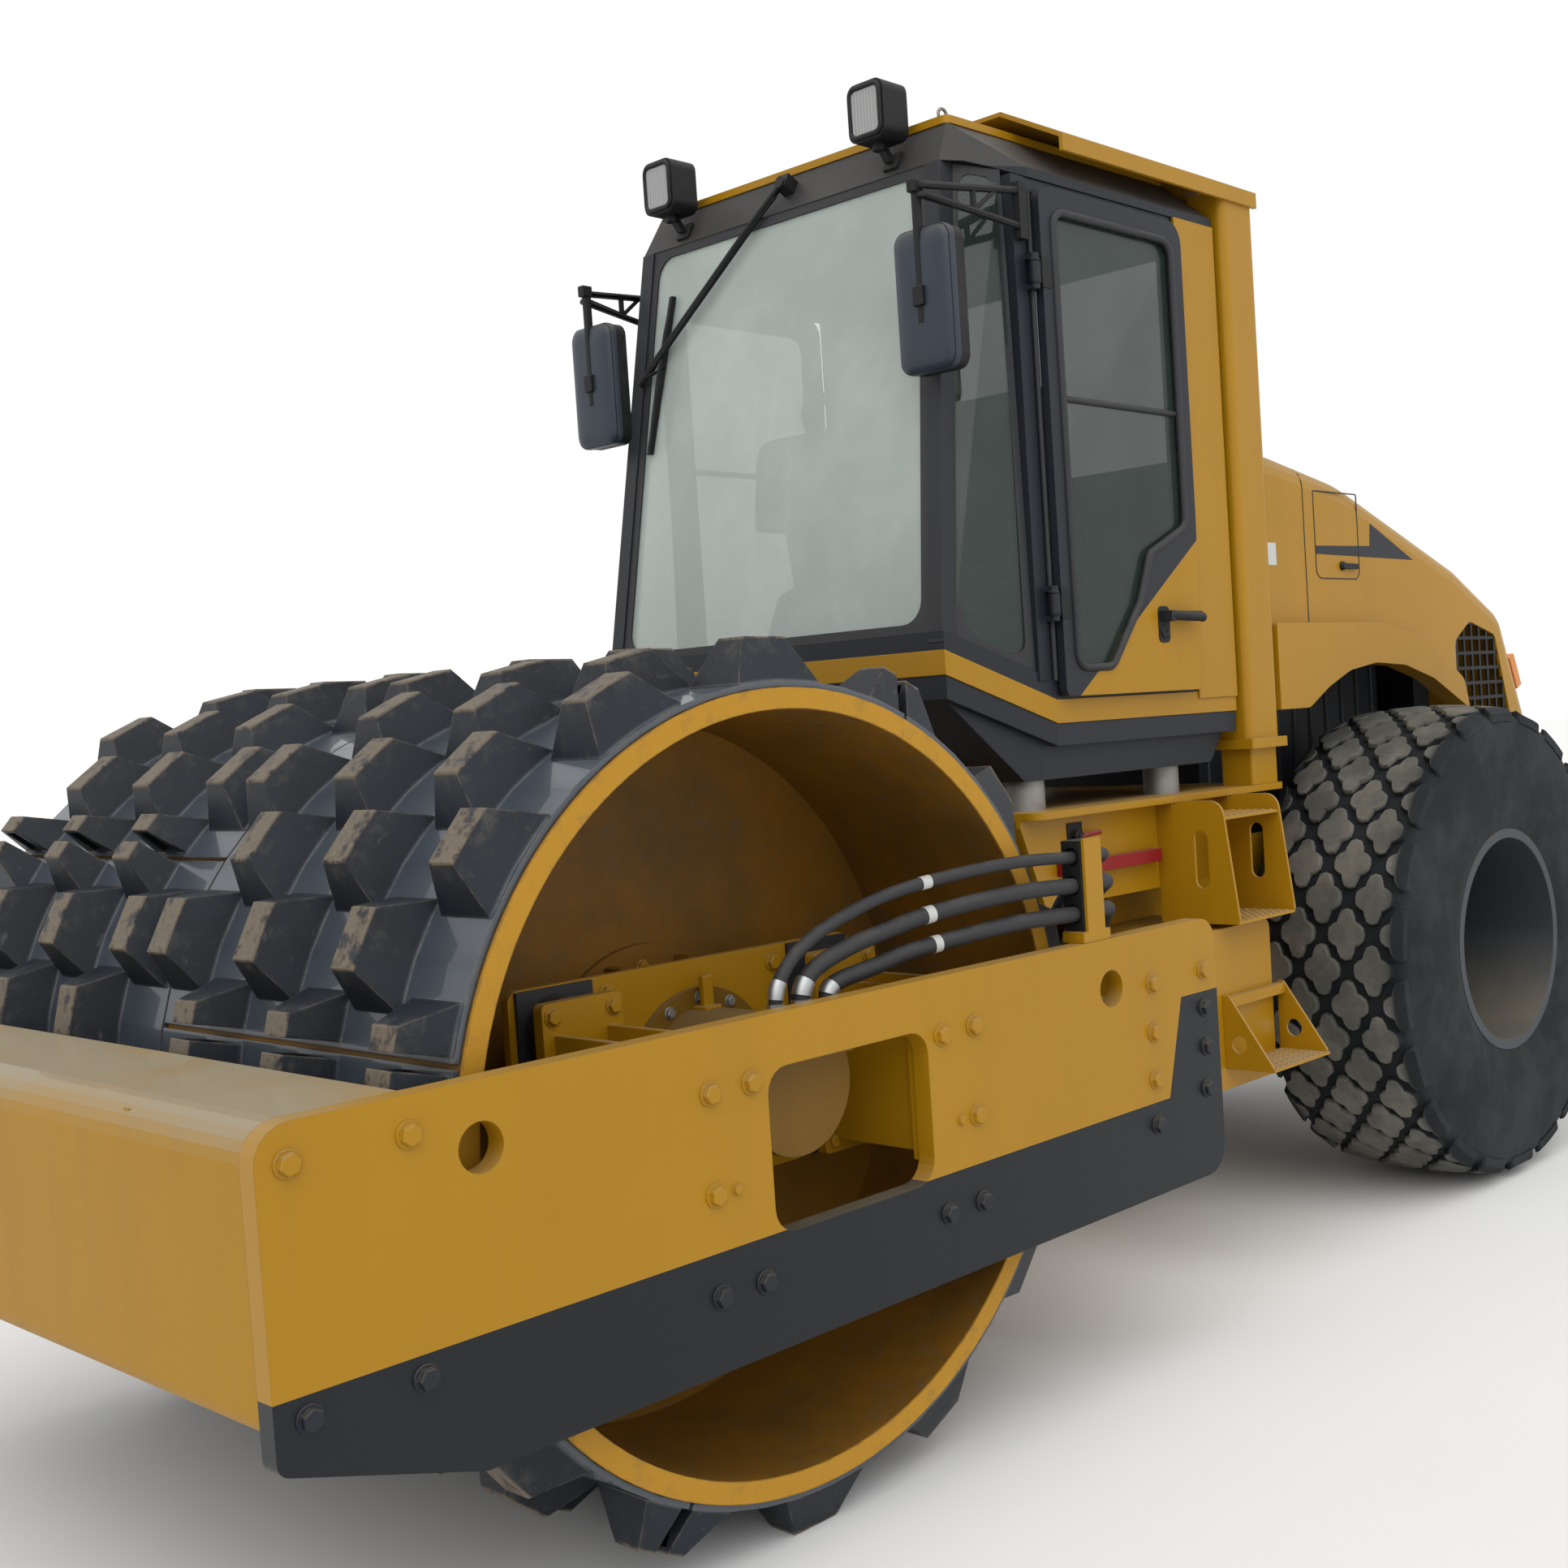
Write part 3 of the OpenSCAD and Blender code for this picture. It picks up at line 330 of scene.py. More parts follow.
def drum_paint():
    """Yellow on the end rings of the drum; inside it the paint is darker, partly dirt and wear and partly painted
    shade.
    """
    f = Finish("Drum paint")
    f.set(Specular_IOR_Level=0.3)
    ring = abs(f.x) > (DRUM_END - 4) / 1000
    broad = f.noise(2.3, 6, 0.65)
    fine = f.noise(26, 5, 0.7)
    grain = f.noise(150, 2)
    # inside the drum the yellow is darker: partly dirt, partly painted shade of the drum's hollow
    inside = f.mix(broad.fade(0.35, 0.7), rgb(136, 94, 22), rgb(104, 76, 32))
    inside = f.mix(fine.fade(0.52, 0.8) * broad.fade(0.3, 0.6), inside, rgb(104, 94, 78))
    edge = f.mix(fine.fade(0.5, 0.75) * 0.5, rgb(178, 130, 30), rgb(132, 104, 54))
    rub, soft = f.edges(0.005)
    base = f.mix(ring, inside, edge)
    f.colour(f.mix((rub * fine.fade(0.4, 0.6) * 0.8).clamp(), base, rgb(70, 62, 52)))
    f.rough(0.42 + fine * 0.2 + broad * 0.1)
    f.bump(fine * 0.6 + grain * 0.3, 0.12, 0.003, soft)
    return f.material


def drum_pads():
    """Dark glossy paint on the padfoot shells, rubbed brown on the pad tops and edges; the shell between the pads is
    lighter bluish grey, a painted reflection of the sky.
    """
    f = Finish("Padfoot steel")
    f.set(Specular_IOR_Level=0.3)
    radius = from_axle(f, DRUM)
    broad = f.noise(3.1, 6, 0.65)
    scuff = f.noise(24, 5, 0.7)
    scratch = f.noise(90, 4, 0.7, (1, 0.15, 0.15))
    grain = f.noise(130, 3, 0.7)
    rub, soft = f.edges(0.006)
    pad = radius.fade(TIP_RADIUS - 0.094, TIP_RADIUS - 0.084)
    base = f.mix(broad.fade(0.3, 0.75), rgb(14, 20, 28), rgb(28, 35, 43))
    # painted reflection: the shell between the pads is made lighter bluish grey to stand for the sky's sheen on it
    base = f.mix((1 - pad) * 0.8, base, f.mix(broad, rgb(58, 67, 77), rgb(80, 88, 96)))
    upper = radius.fade(TIP_RADIUS - 0.05, TIP_RADIUS) * scuff.fade(0.45, 0.65)
    film = (scuff.fade(0.55, 0.8) * 0.3 + upper * 0.3).clamp()
    base = f.mix(film, base, rgb(88, 84, 78))
    tops = radius.fade(TIP_RADIUS - 0.006, TIP_RADIUS - 0.001) * scuff.fade(0.34, 0.56)
    tops = (tops * 0.8 + rub * scuff.fade(0.40, 0.6) * 0.9).clamp()
    base = f.mix(tops, base, f.mix(scuff.fade(0.35, 0.7), rgb(140, 122, 98), rgb(104, 99, 90)))
    f.colour(f.mix((scratch.fade(0.62, 0.8) * 0.35).clamp(), base, rgb(110, 110, 108)))
    f.rough(0.26 + pad * 0.16 + film * 0.3 + tops * 0.2 + grain * 0.12)
    f.wire("Coat Weight", (1 - pad) * 0.6)
    f.bump(scuff * 0.6 + grain * 0.4, 0.14, 0.003, soft)
    return f.material


def steel(name, colour, roughness=0.32, wear=0.2):
    f = Finish(name, metallic=0.9)
    broad = f.noise(9, 5)
    scratch = f.noise(60, 3, 0.6, (1, 0.05, 1))
    f.colour(f.mix(broad.fade(0.4, 0.8) * wear, colour, WORN))
    f.rough(roughness + scratch * 0.15 + broad * 0.1)
    f.bump(scratch, 0.08, 0.001)
    return f.material


def window_glass(name, dark, pale, alpha):
    """Pane with a plain reflection and a film of dust; its partly opaque colour is painted: a painted reflection when
    pale, painted shade and reflection when dark.
    """
    f = Finish(name)
    f.set(Roughness=0.03, IOR=1.5)
    broad = f.noise(2.2, 4)
    streaks = f.noise(5, 3, 0.5, (1, 1, 0.15))
    f.colour(f.mix(broad, dark, pale))
    f.wire("Alpha", (alpha + broad.fade(0.4, 0.8) * 0.10 + streaks.fade(0.5, 0.8) * 0.05).clamp())
    return f.material


def lamp_glass(name, colour, alpha):
    f = Finish(name)
    f.set(Roughness=0.12, IOR=1.5, Alpha=alpha)
    ribs = f.make("TexWave", None, {"Vector": f.spot, "Scale": 28, "Distortion": 0.3})
    f.colour(f.mix(ribs, colour, tuple(c * 0.8 for c in colour[:3]) + (1,)))
    f.bump(ribs, 0.25, 0.002)
    return f.material


def mirror_glass():
    f = Finish("Mirror glass", metallic=1.0)
    broad = f.noise(6, 3)
    f.colour(f.mix(broad, rgb(206, 212, 214), rgb(190, 196, 200)))
    f.rough(0.03 + broad * 0.05)
    return f.material


def seat_cloth():
    f = Finish("Woven cloth")
    thread = {"Vector": f.spot, "Scale": 180, "Distortion": 0.6}
    warp = f.make("TexWave", {"bands_direction": "X"}, thread)
    weft = f.make("TexWave", {"bands_direction": "Z"}, thread)
    broad = f.noise(8, 4)
    woven = (warp * 0.5 + weft * 0.5) * 0.6 + broad * 0.3
    f.colour(f.mix(woven, rgb(58, 60, 64), rgb(92, 94, 98)))
    f.set(Roughness=0.9, Sheen_Weight=0.3)
    f.bump(warp + weft, 0.3, 0.0008)
    return f.material


class Axle:
    """Middle of a tyre and its radius, from the frame."""

    def __init__(self, node):
        low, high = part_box(node)
        middle = (low + high) / 2
        self.x, self.y, self.z = middle
        self.radius = (high.z - low.z) / 2
        self.width = high.x - low.x


TYRES = {side: Axle("tyre_" + side) for _, side in SIDES}

paint_yellow = painted("Yellow paint", YELLOW, gloss=0.30, dust=0.30)
# front beam: its heavy top dust is partly real dust, partly a painted reflection of the sky on its top
paint_beam = painted("Front beam paint", YELLOW, gloss=0.36, dust=0.8, shine=0.12, coat=0.2)
paint_slate = painted("Slate paint", SLATE, gloss=0.42, dust=0.16)
paint_mirror = painted("Mirror shell paint", rgb(50, 58, 69), gloss=0.3, dust=0.2)
paint_engine = painted("Engine paint", rgb(60, 65, 68), gloss=0.4, dust=0.4)
paint_rim = painted("Rim paint", rgb(58, 64, 70), gloss=0.45, dust=0.35, wear=0.6, bevel=0.006)
paint_plate = painted(
    "Side plate paint", YELLOW, gloss=0.32, second=rgb(23, 27, 32), second_where=below_paint_line, dust=0.22)
paint_door = painted("Door paint", SLATE, gloss=0.42, second=YELLOW, second_where=door_panel, dust=0.14)
paint_drive = painted("Drive paint", rgb(118, 86, 20), gloss=0.45, dust=0.3, wear=0.8, grime=0.5)
paint_housing = painted("Housing grey", rgb(96, 99, 100), gloss=0.55, dust=0.3, wear=0.2)
paint_drum = drum_paint()
paint_red = painted("Red paint", rgb(140, 24, 28), dust=0.3)
paint_step = painted("Step paint", YELLOW, dust=0.55)
plastic = black_plastic()
rubber = hose_rubber()
tyre_skin = tyre_rubber(TYRES["left"])
pad_steel = drum_pads()
bright_steel = steel("Bright steel", rgb(176, 178, 180))
dull_steel = steel("Dull steel", rgb(150, 150, 146), 0.5, 0.6)
# windshield: the pale opaque colour is a painted reflection of the sky
glass = window_glass("Windshield glass", rgb(194, 208, 200), rgb(214, 222, 216), 0.44)
# side panes: the dark opaque colour is painted shade of the cab inside and a painted dark reflection
side_glass = window_glass("Side glass", rgb(38, 50, 46), rgb(64, 78, 72), 0.50)
amber = lamp_glass("Amber lens", rgb(236, 140, 20), 0.85)
pale_plate = painted("Pale plate", rgb(200, 202, 200), gloss=0.5, dust=0.2, wear=0.1)
clear_lens = lamp_glass("Clear lens", rgb(226, 228, 226), 0.5)
mirror = mirror_glass()
cloth = seat_cloth()

# CAD nodes by material; a * stands for left and right
FINISHES = {
    paint_plate: "side_plate_*",
    paint_beam: "front_beam",
    paint_rim: "rim_*",
    paint_yellow: "rear_crossbeam drum_carriers clamp_bracket cylinder_barrel_* rear_frame side_tanks cab_belt"
                  " roof_edge rollover_frame hood",
    paint_step: "steps",
    paint_drum: "drum_shell",
    pad_steel: "padfoot_shells_*",
    paint_slate: "centre_joint rear_axle engine_block rear_bumper cab_tub cab_frame cab_roof",
    paint_drive: "drum_drives",
    paint_housing: "console",
    paint_door: "door_left door_right",
    plastic: "hose_clamp wiper mirrors work_lights hood_grilles",
    rubber: "rubber_mounts hoses",
    bright_steel: "cylinder_rod_*",
    dull_steel: "isolators",
    glass: "windshield",
    side_glass: "corner_glass rear_glass door_glass_*",
    amber: "tail_lamps",
    paint_red: "lock_bar",
    tyre_skin: "tyre_*",
    cloth: "seat",
}
for material, names in FINISHES.items():
    for name in names.split():
        for node in {name.replace("*", side) for _, side in SIDES}:
            slots = nodes[node].data.materials
            slots.clear()
            slots.append(material)


# ---- mesh helpers

def mesh_of(name, points, faces):
    """New mesh of points and faces."""
    mesh = bpy.data.meshes.new(name)
    mesh.from_pydata([tuple(p) for p in points], [], faces)
    return mesh


def placed(name, data):
    """New object in the scene."""
    thing = bpy.data.objects.new(name, data)
    bpy.context.scene.collection.objects.link(thing)
    return thing


def modify(thing, kind, **settings):
    """New modifier on an object."""
    modifier = thing.modifiers.new(kind, kind)
    for key, value in settings.items():
        setattr(modifier, key, value)
    return modifier


def piece(name, mesh_data, material, smooth=0.0, body="rear_unit", bevel=0.0):
    """Object from (points, faces), riding on a body. Edges under smooth degrees are shaded smooth."""
    mesh = mesh_of(name, *mesh_data)
    mesh.validate()
    work = bmesh.new()
    work.from_mesh(mesh)
    bmesh.ops.recalc_face_normals(work, faces=work.faces)
    work.to_mesh(mesh)
    work.free()
    mesh.materials.append(material)
    thing = placed(name, mesh)
    if bevel:
        modify(thing, "BEVEL", width=bevel, segments=2, limit_method="ANGLE", angle_limit=radians(40))
    if smooth:
        mesh.shade_smooth()
        mesh.set_sharp_from_angle(angle=radians(smooth))
    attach(thing, body)
    return thing


def joined(parts):
    """Several (points, faces) as one."""
    points, faces = [], []
    for part_points, part_faces in parts:
        start = len(points)
        points.extend(part_points)
        faces.extend([tuple(i + start for i in face) for face in part_faces])
    return points, faces


def brick(low, high):
    """Box between two corner points."""
    points = [Vector((x, y, z)) for x in (low[0], high[0]) for y in (low[1], high[1]) for z in (low[2], high[2])]
    return points, [(0, 1, 3, 2), (4, 6, 7, 5), (0, 4, 5, 1), (2, 3, 7, 6), (0, 2, 6, 4), (1, 5, 7, 3)]


def turns(count):
    """That many equal steps of a full turn, as angles."""
    return [2 * pi * k / count for k in range(count)]


def skin(rows, count, closed=False):
    """Quads between rows of equally many points; closed joins the last row to the first."""
    faces = []
    for r in range(rows if closed else rows - 1):
        low, high = r * count, (r + 1) % rows * count
        for k in range(count):
            after = (k + 1) % count
            faces.append((low + k, low + after, high + after, high + k))
    return faces


def caps(rows, count):
    """Faces that close the first and the last row."""
    return [tuple(reversed(range(count))), tuple(range((rows - 1) * count, rows * count))]


def lathe(centre, direction, profile, steps=32, closed=False, turn=0.0):
    """Turned shape: profile is (distance along direction, radius) in millimetres."""
    way = Vector(direction).normalized()
    side = way.orthogonal().normalized()
    other = way.cross(side)
    points = []
    for along, radius in profile:
        for angle in turns(steps):
            a = angle + turn
            points.append(centre + way * along / 1000 + (side * cos(a) + other * sin(a)) * radius / 1000)
    faces = skin(len(profile), steps, closed)
    return points, faces if closed else faces + caps(len(profile), steps)


def hexagon_bolt(centre, direction, size, turn):
    """Bolt head of that width across corners on its washer, as (points, faces)."""
    def turned(profile, steps, start):
        return lathe(centre, direction, [(a * size, r * size) for a, r in profile], steps, turn=start)
    washer = turned([(0, 0.62), (0.07, 0.62), (0.10, 0.58)], 20, 0.0)
    return joined([washer, turned([(0.08, 0.5), (0.36, 0.5), (0.42, 0.43)], 6, turn)])


def bolts(name, places, direction, size, material, body):
    """Bolt heads at the places, each turned by chance."""
    rng = random.Random(len(places) * 7 + int(size))
    heads = [hexagon_bolt(p, direction, size, rng.uniform(0, 1)) for p in places]
    piece(name, joined(heads), material, 30, body)


def tube(path, radius, sides=14, closed=False):
    """Round bar along a list of points."""
    count = len(path)
    points, side = [], None
    for i, p in enumerate(path):
        before = path[i - 1] if i or closed else p
        after = path[(i + 1) % count] if i < count - 1 or closed else p
        way = (after - before).normalized()
        side = way.orthogonal().normalized() if side is None else (side - way * side.dot(way)).normalized()
        other = way.cross(side)
        points += [p + (side * cos(a) + other * sin(a)) * radius for a in turns(sides)]
    faces = []
    for i in range(count if closed else count - 1):
        a, b = i * sides, (i + 1) % count * sides
        faces += [(a + k, b + k, b + (k + 1) % sides, a + (k + 1) % sides) for k in range(sides)]
    return points, faces if closed else faces + caps(count, sides)


def curve_through(route, steps):
    """Smooth line through the points of a route."""
    line = []
    for i in range(len(route) - 1):
        p0, p1, p2, p3 = route[max(i - 1, 0)], route[i], route[i + 1], route[min(i + 2, len(route) - 1)]
        for k in range(steps):
            t = k / steps
            square = (2 * p0 - 5 * p1 + 4 * p2 - p3) * t * t
            cube = (3 * p1 - p0 - 3 * p2 + p3) * t ** 3
            line.append(0.5 * (2 * p1 + (p2 - p0) * t + square + cube))
    return line + [route[-1]]


def round_outline(corners, steps=5):
    """Closed outline from (a, b, corner radius), as the CAD source rounds its own."""
    line = []
    for i, (a, b, radius) in enumerate(corners):
        here = Vector((a, b))
        u = (Vector(corners[i - 1][:2]) - here).normalized()
        v = (Vector(corners[(i + 1) % len(corners)][:2]) - here).normalized()
        half = u.angle(v) / 2
        centre = here + (u + v).normalized() * radius / sin(half)
        first = here + u * radius / tan(half) - centre
        last = here + v * radius / tan(half) - centre
        turn = first.angle_signed(last)
        for k in range(steps + 1):
            c, s = cos(turn * k / steps), -sin(turn * k / steps)
            line.append(centre + Vector((first.x * c - first.y * s, first.x * s + first.y * c)))
    return line


def round_box(a0, b0, a1, b1, corner, inset=0, steps=5):
    """Rounded rectangle between two corner points, moved inwards by inset."""
    a0, b0, a1, b1 = a0 + inset, b0 + inset, a1 - inset, b1 - inset
    return round_outline([(a0, b0, corner), (a1, b0, corner), (a1, b1, corner), (a0, b1, corner)], steps)


def loft(rings):
    """Skin over rings of equally many points, closed at the last one."""
    count = len(rings[0])
    faces = skin(len(rings), count) + caps(len(rings), count)[1:]
    return [p for ring in rings for p in ring], faces


def slab(outline, place, thickness_way):
    """Flat plate: outline points through place(a, b), thickened by a vector."""
    front = [place(a, b) for a, b in outline]
    back = [p + thickness_way for p in front]
    count = len(front)
    faces = [tuple(range(count)), tuple(reversed(range(count, 2 * count)))]
    faces += [(k, k + count, (k + 1) % count + count, (k + 1) % count) for k in range(count)]
    return front + back, faces


# ---- tyres

TREAD_COLUMNS = (-255, -170, -85, 0, 85, 170, 255)
BLOCKS_ROUND = 22
BLOCK_ACROSS = 61
BLOCK_ALONG = 81
BLOCK_POINTS = 24
LOBE = 0.18  # how far the four lobes stand out, how blunt they are, and the reach of both
BLUNT = 0.04
LOBE_REACH = 1.14
GROOVE_DEPTH = 22
CROWN_DROP = 18
CROWN_HALF = 240
SHOULDER_START = 235
SHOULDER_BEND = 0.018
SHOULDER_MARGIN = 17
HUB_DEPTH = 0.110
NUT_CIRCLE = 0.172

# the CAD tyre's side wall, as (distance from the middle, radius) at half a width of 280 mm
WALL_HALF_WIDTH = 280
WALL = (
    (235, 345), (249, 352), (256, 372), (264, 400), (270, 420), (276, 470), (278, 540), (277, 600),
    (274, 640), (266, 690), (262, 706), (258, 722),
)


def crown(v, radius):
    """Tread radius at the distance v from the tyre's middle, in millimetres."""
    return radius - CROWN_DROP * (abs(v) / CROWN_HALF) ** 2 - max(0, abs(v) - SHOULDER_START) ** 2 * SHOULDER_BEND


def tread_block(axle, v, angle):
    """Four-lobed tread block, cut straight where it runs over the shoulder."""
    limit = axle.width * 500 - SHOULDER_MARGIN
    radius = axle.radius * 1000
    rings = []
    for depth, spread in ((GROOVE_DEPTH + 6, 1.04), (3, 0.98), (0, 0.93)):
        ring = []
        for a in turns(BLOCK_POINTS):
            reach = (1 + LOBE * cos(4 * a) - BLUNT * cos(8 * a)) / LOBE_REACH * spread
            across = max(-limit, min(limit, v + BLOCK_ACROSS * reach * cos(a)))
            around = angle + BLOCK_ALONG * reach * sin(a) / radius
            r = (crown(across, radius) - depth) / 1000
            ring.append(Vector((
                axle.x + across / 1000, axle.y + r * sin(around), axle.z + r * cos(around),
            )))
        rings.append(ring)
    return loft(rings)


def make_tyre(side):
    """Carcass with grooves down to their full depth, and the tread blocks on it."""
    axle = TYRES[side]
    radius = axle.radius * 1000
    half = axle.width * 500
    tread = [(v, crown(v, radius) - GROOVE_DEPTH) for v in (245, 225, 190, 150, 100, 50, 0)]
    one_side = [(a * half / WALL_HALF_WIDTH, r) for a, r in WALL] + tread
    profile = one_side + [(-a, r) for a, r in reversed(one_side[:-1])]
    parts = [lathe(Vector((axle.x, axle.y, axle.z)), (1, 0, 0), profile, 96, closed=True)]
    pitch = 2 * pi / BLOCKS_ROUND
    for column, v in enumerate(TREAD_COLUMNS):
        for n in range(BLOCKS_ROUND):
            parts.append(tread_block(axle, v, pitch * (n + 0.5 * (column % 2))))
    made = piece("tyre_tread_" + side, joined(parts), tyre_skin, 38, "wheel_" + side)
    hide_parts("tyre_" + side)


def make_wheel_hub(s, side):
    """Nuts and the planetary hub in the middle of the rim."""
    axle = TYRES[side]
    body = "wheel_" + side
    centre = Vector((axle.x - s * HUB_DEPTH, axle.y, axle.z))
    profile = [(0, 150), (40, 150), (52, 138), (60, 118), (90, 112), (104, 96), (108, 60), (108, 0.5)]
    piece("hub_" + side, lathe(centre, (s, 0, 0), profile, 40), paint_slate, 30, body)
    ring = [centre + Vector((0, cos(a), sin(a))) * NUT_CIRCLE for a in turns(12)]
    bolts("wheel_nuts_" + side, ring, (s, 0, 0), 32, dull_steel, body)


for _, side in SIDES:
    make_tyre(side)
for s, side in SIDES:
    make_wheel_hub(s, side)


# ---- front frame details

def plate_bolts(s, side):
    """Bolt heads on the outside of a side plate, at (y, z), and two small plugs by its window."""
    yellow_spots = (
        (-1142, 1020), (-938, 1020), (-324, 962), (-223, 964), (-325, 774), (308, 961), (409, 963), (404, 772),
        (1057, 954), (1053, 837), (1051, 723), (1271, 956),
    )
    dark_spots = (
        (1272, 862), (1272, 764), (1266, 660), (1051, 613), (408, 584), (299, 584), (-218, 583), (-326, 584),
        (-939, 629), (-1137, 630),
    )
    for name, spots, size, paint in (
        ("plate_bolts_", yellow_spots, 38, paint_yellow),
        ("plate_bolts_dark_", dark_spots, 38, paint_slate),
        ("plate_plugs_", ((-274, 773), (352, 772)), 20, paint_yellow),
    ):
        bolts(name + side, [at(s * PLATE_OUT, y, z) for y, z in spots], (s, 0, 0), size, paint, "front_unit")


def drum_end_bolts(s, side):
    """Bolts in the end of the drum: on the brackets, the long plate, the motor flange and the hub."""
    def circle(radius):
        return [(radius * sin(a), radius * cos(a)) for a in turns(12)]
    bracket = [(y + a, z) for y in (-355, 355) for a in (-72, 72) for z in (-196, 90, 196)]
    plate = [(y, z) for y in (-225, 225) for z in (-205, 205)]
    for name, x, spots, size, material, body in (
        ("bracket_bolts_", CARRIER_X + 116, bracket, 30, paint_yellow, "front_unit"),
        ("drive_plate_bolts_", CARRIER_X + 20, plate, 34, paint_yellow, "front_unit"),
        ("motor_bolts_", CARRIER_X + 36, circle(164), 22, dull_steel, "front_unit"),
        ("hub_bolts_", WEB_X + 22, circle(218), 28, paint_yellow, "drum"),
    ):
        bolts(name + side, [at(s * x, y, HUB_Z + z) for y, z in spots], (s, 0, 0), size, material, body)
    x = s * (CARRIER_X + 60)
    post = brick(at(x - 8, -14, 1036), at(x + 8, 14, 1116))
    foot = brick(at(x - 22, -22, 1036), at(x + 22, 22, 1052))
    piece("motor_stand_" + side, joined([post, foot]), paint_yellow, 0, "front_unit", bevel=0.003)


for s, side in SIDES:
    plate_bolts(s, side)
for s, side in SIDES:
    drum_end_bolts(s, side)

# from the rear cross beam through the clamp to the drum motor, as the CAD source has them
HOSE_ROUTES = [
    [
        (800, 1057, 900.3), (800, 1057, 925), (806, 1057, 970), (828, 1056, 1040), (870, 1052, 1120), (930, 1045, 1190),
        (1000, 1030, 1240), (1066, 1000, 1268), (1104, 950, 1280), (1112, 898, 1282), (1112, 822, 1282),
        (1111, 740, 1287), (1106, 640, 1290), (1093, 540, 1287), (1074, 440, 1279), (1058, 340, 1268),
        (1051, 240, 1252), (1050, 150, 1230), (1050, 70, 1205), (1050, 0, 1168), (1050, -46, 1122),
        (1050, -58, 1088), (1050, -58, 1060.3),
    ],
    [
        (870, 1057, 900.3), (870, 1057, 925), (876, 1057, 965), (893, 1055, 1020), (930, 1049, 1090), (985, 1038, 1148),
        (1040, 1018, 1188), (1085, 985, 1208), (1107, 942, 1215), (1112, 898, 1216), (1112, 822, 1216),
        (1111, 740, 1220), (1106, 640, 1222), (1093, 540, 1218), (1074, 440, 1209), (1058, 350, 1198),
        (1051, 265, 1183), (1050, 190, 1172), (1050, 120, 1156), (1050, 62, 1138), (1050, 26, 1114),
        (1050, 12, 1086), (1050, 12, 1060.3),
    ],
    [
        (940, 1057, 900.3), (940, 1057, 920), (944, 1057, 950), (956, 1054, 990), (982, 1047, 1040), (1018, 1034, 1088),
        (1056, 1013, 1123), (1090, 980, 1143), (1108, 940, 1150), (1112, 898, 1150), (1112, 822, 1150),
        (1111, 740, 1153), (1106, 640, 1155), (1093, 540, 1150), (1074, 450, 1142), (1059, 370, 1134),
        (1051, 300, 1126), (1050, 235, 1115), (1050, 180, 1108), (1050, 132, 1102), (1050, 98, 1092),
        (1050, 84, 1076), (1050, 84, 1060.3),
    ],
]
HOSE_RADII = (0.014, 0.0185, 0.0185)
BAND_AT = -31


def make_hoses():
    """Two drive hoses and a thinner drain hose, their fittings, and the plain marker bands on them."""
    lines, fittings, bands = [], [], []
    for route, radius in zip(HOSE_ROUTES, HOSE_RADII):
        line = curve_through([at(*p) for p in route], 4)
        lines.append(tube(line, radius, 18))
        fittings.append(tube(line[-9:-4], radius + 0.0025, 18))
        fittings.append(tube(line[-4:], radius + 0.004, 6))
        fittings.append(tube(line[:4], radius + 0.004, 6))
        bands.append(tube(line[BAND_AT:BAND_AT + 2], radius + 0.0007, 18))
    made = piece("hoses_smooth", joined(lines), rubber, 60, "front_unit")
    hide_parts("hoses")
    piece("hose_ferrules", joined(fittings), bright_steel, 30, "front_unit")
    piece("hose_bands", joined(bands), pale_plate, 60, "front_unit")


make_hoses()


# ---- cab details

HINGE_Y = 1276
HINGE_HEIGHTS = (1900, 2760)


def door_trim(s, side):
    """Rubber round the door window and behind the post, the bar across the pane, hinges, handle and lock."""
    body = "door_" + side
    window = [
        (1350, 1730, 40), (1500, 1730, 40), (1640, 1900, 30), (1700, 2040, 30),
        (1880, 2120, 40), (1880, 2925, 50), (1350, 2925, 40),
    ]
    line = [at(s * (CAB_SIDE + 30), p.x, p.y) for p in round_outline(window)]
    seal = tube(line, 0.011, 10, closed=True)
    rail = tube([at(s * (CAB_SIDE + 19), y, 2440) for y in (1352, 1878)], 0.009, 10)
    piece("door_seal_" + side, joined([seal, rail]), rubber, 60, body)
    lip = tube([at(s * (CAB_SIDE + 1.5), 1286, z) for z in (1700, 2330, 2965)], 0.007, 10)
    piece("post_seal_" + side, lip, rubber, 60)
    hinges = []
    for z in HINGE_HEIGHTS:
        for end in (-1, 1):
            cap = [(0, 15), (5 * end, 15), (9 * end, 11)]
            hinges.append(lathe(at(s * (CAB_SIDE + 21), HINGE_Y, z + 26 * end), (0, 0, 1), cap, 16))
        hinges.append(brick(at(s * (DOOR_OUT + 1) - 2, 1292, z - 40), at(s * (DOOR_OUT + 1) + 2, 1326, z + 40)))
    grip = ((26, 1742, 1865), (36, 1770, 1865), (37, 1880, 1862), (28, 1900, 1861))
    grip = tube([at(s * (DOOR_OUT + out), y, z) for out, y, z in grip], 0.014, 12)
    lock = lathe(at(s * DOOR_OUT, 1748, 1822), (s, 0, 0), [(0, 19), (6, 19), (9, 15), (9, 6), (7, 5)], 24)
    plate = slab(round_box(1722, 1792, 1774, 1894, 16), lambda a, b: at(s * (DOOR_OUT - 1), a, b),
                 Vector((s * 0.004, 0, 0)))
    piece("door_hardware_" + side, joined(hinges + [grip, lock, plate]), plastic, 40, body)


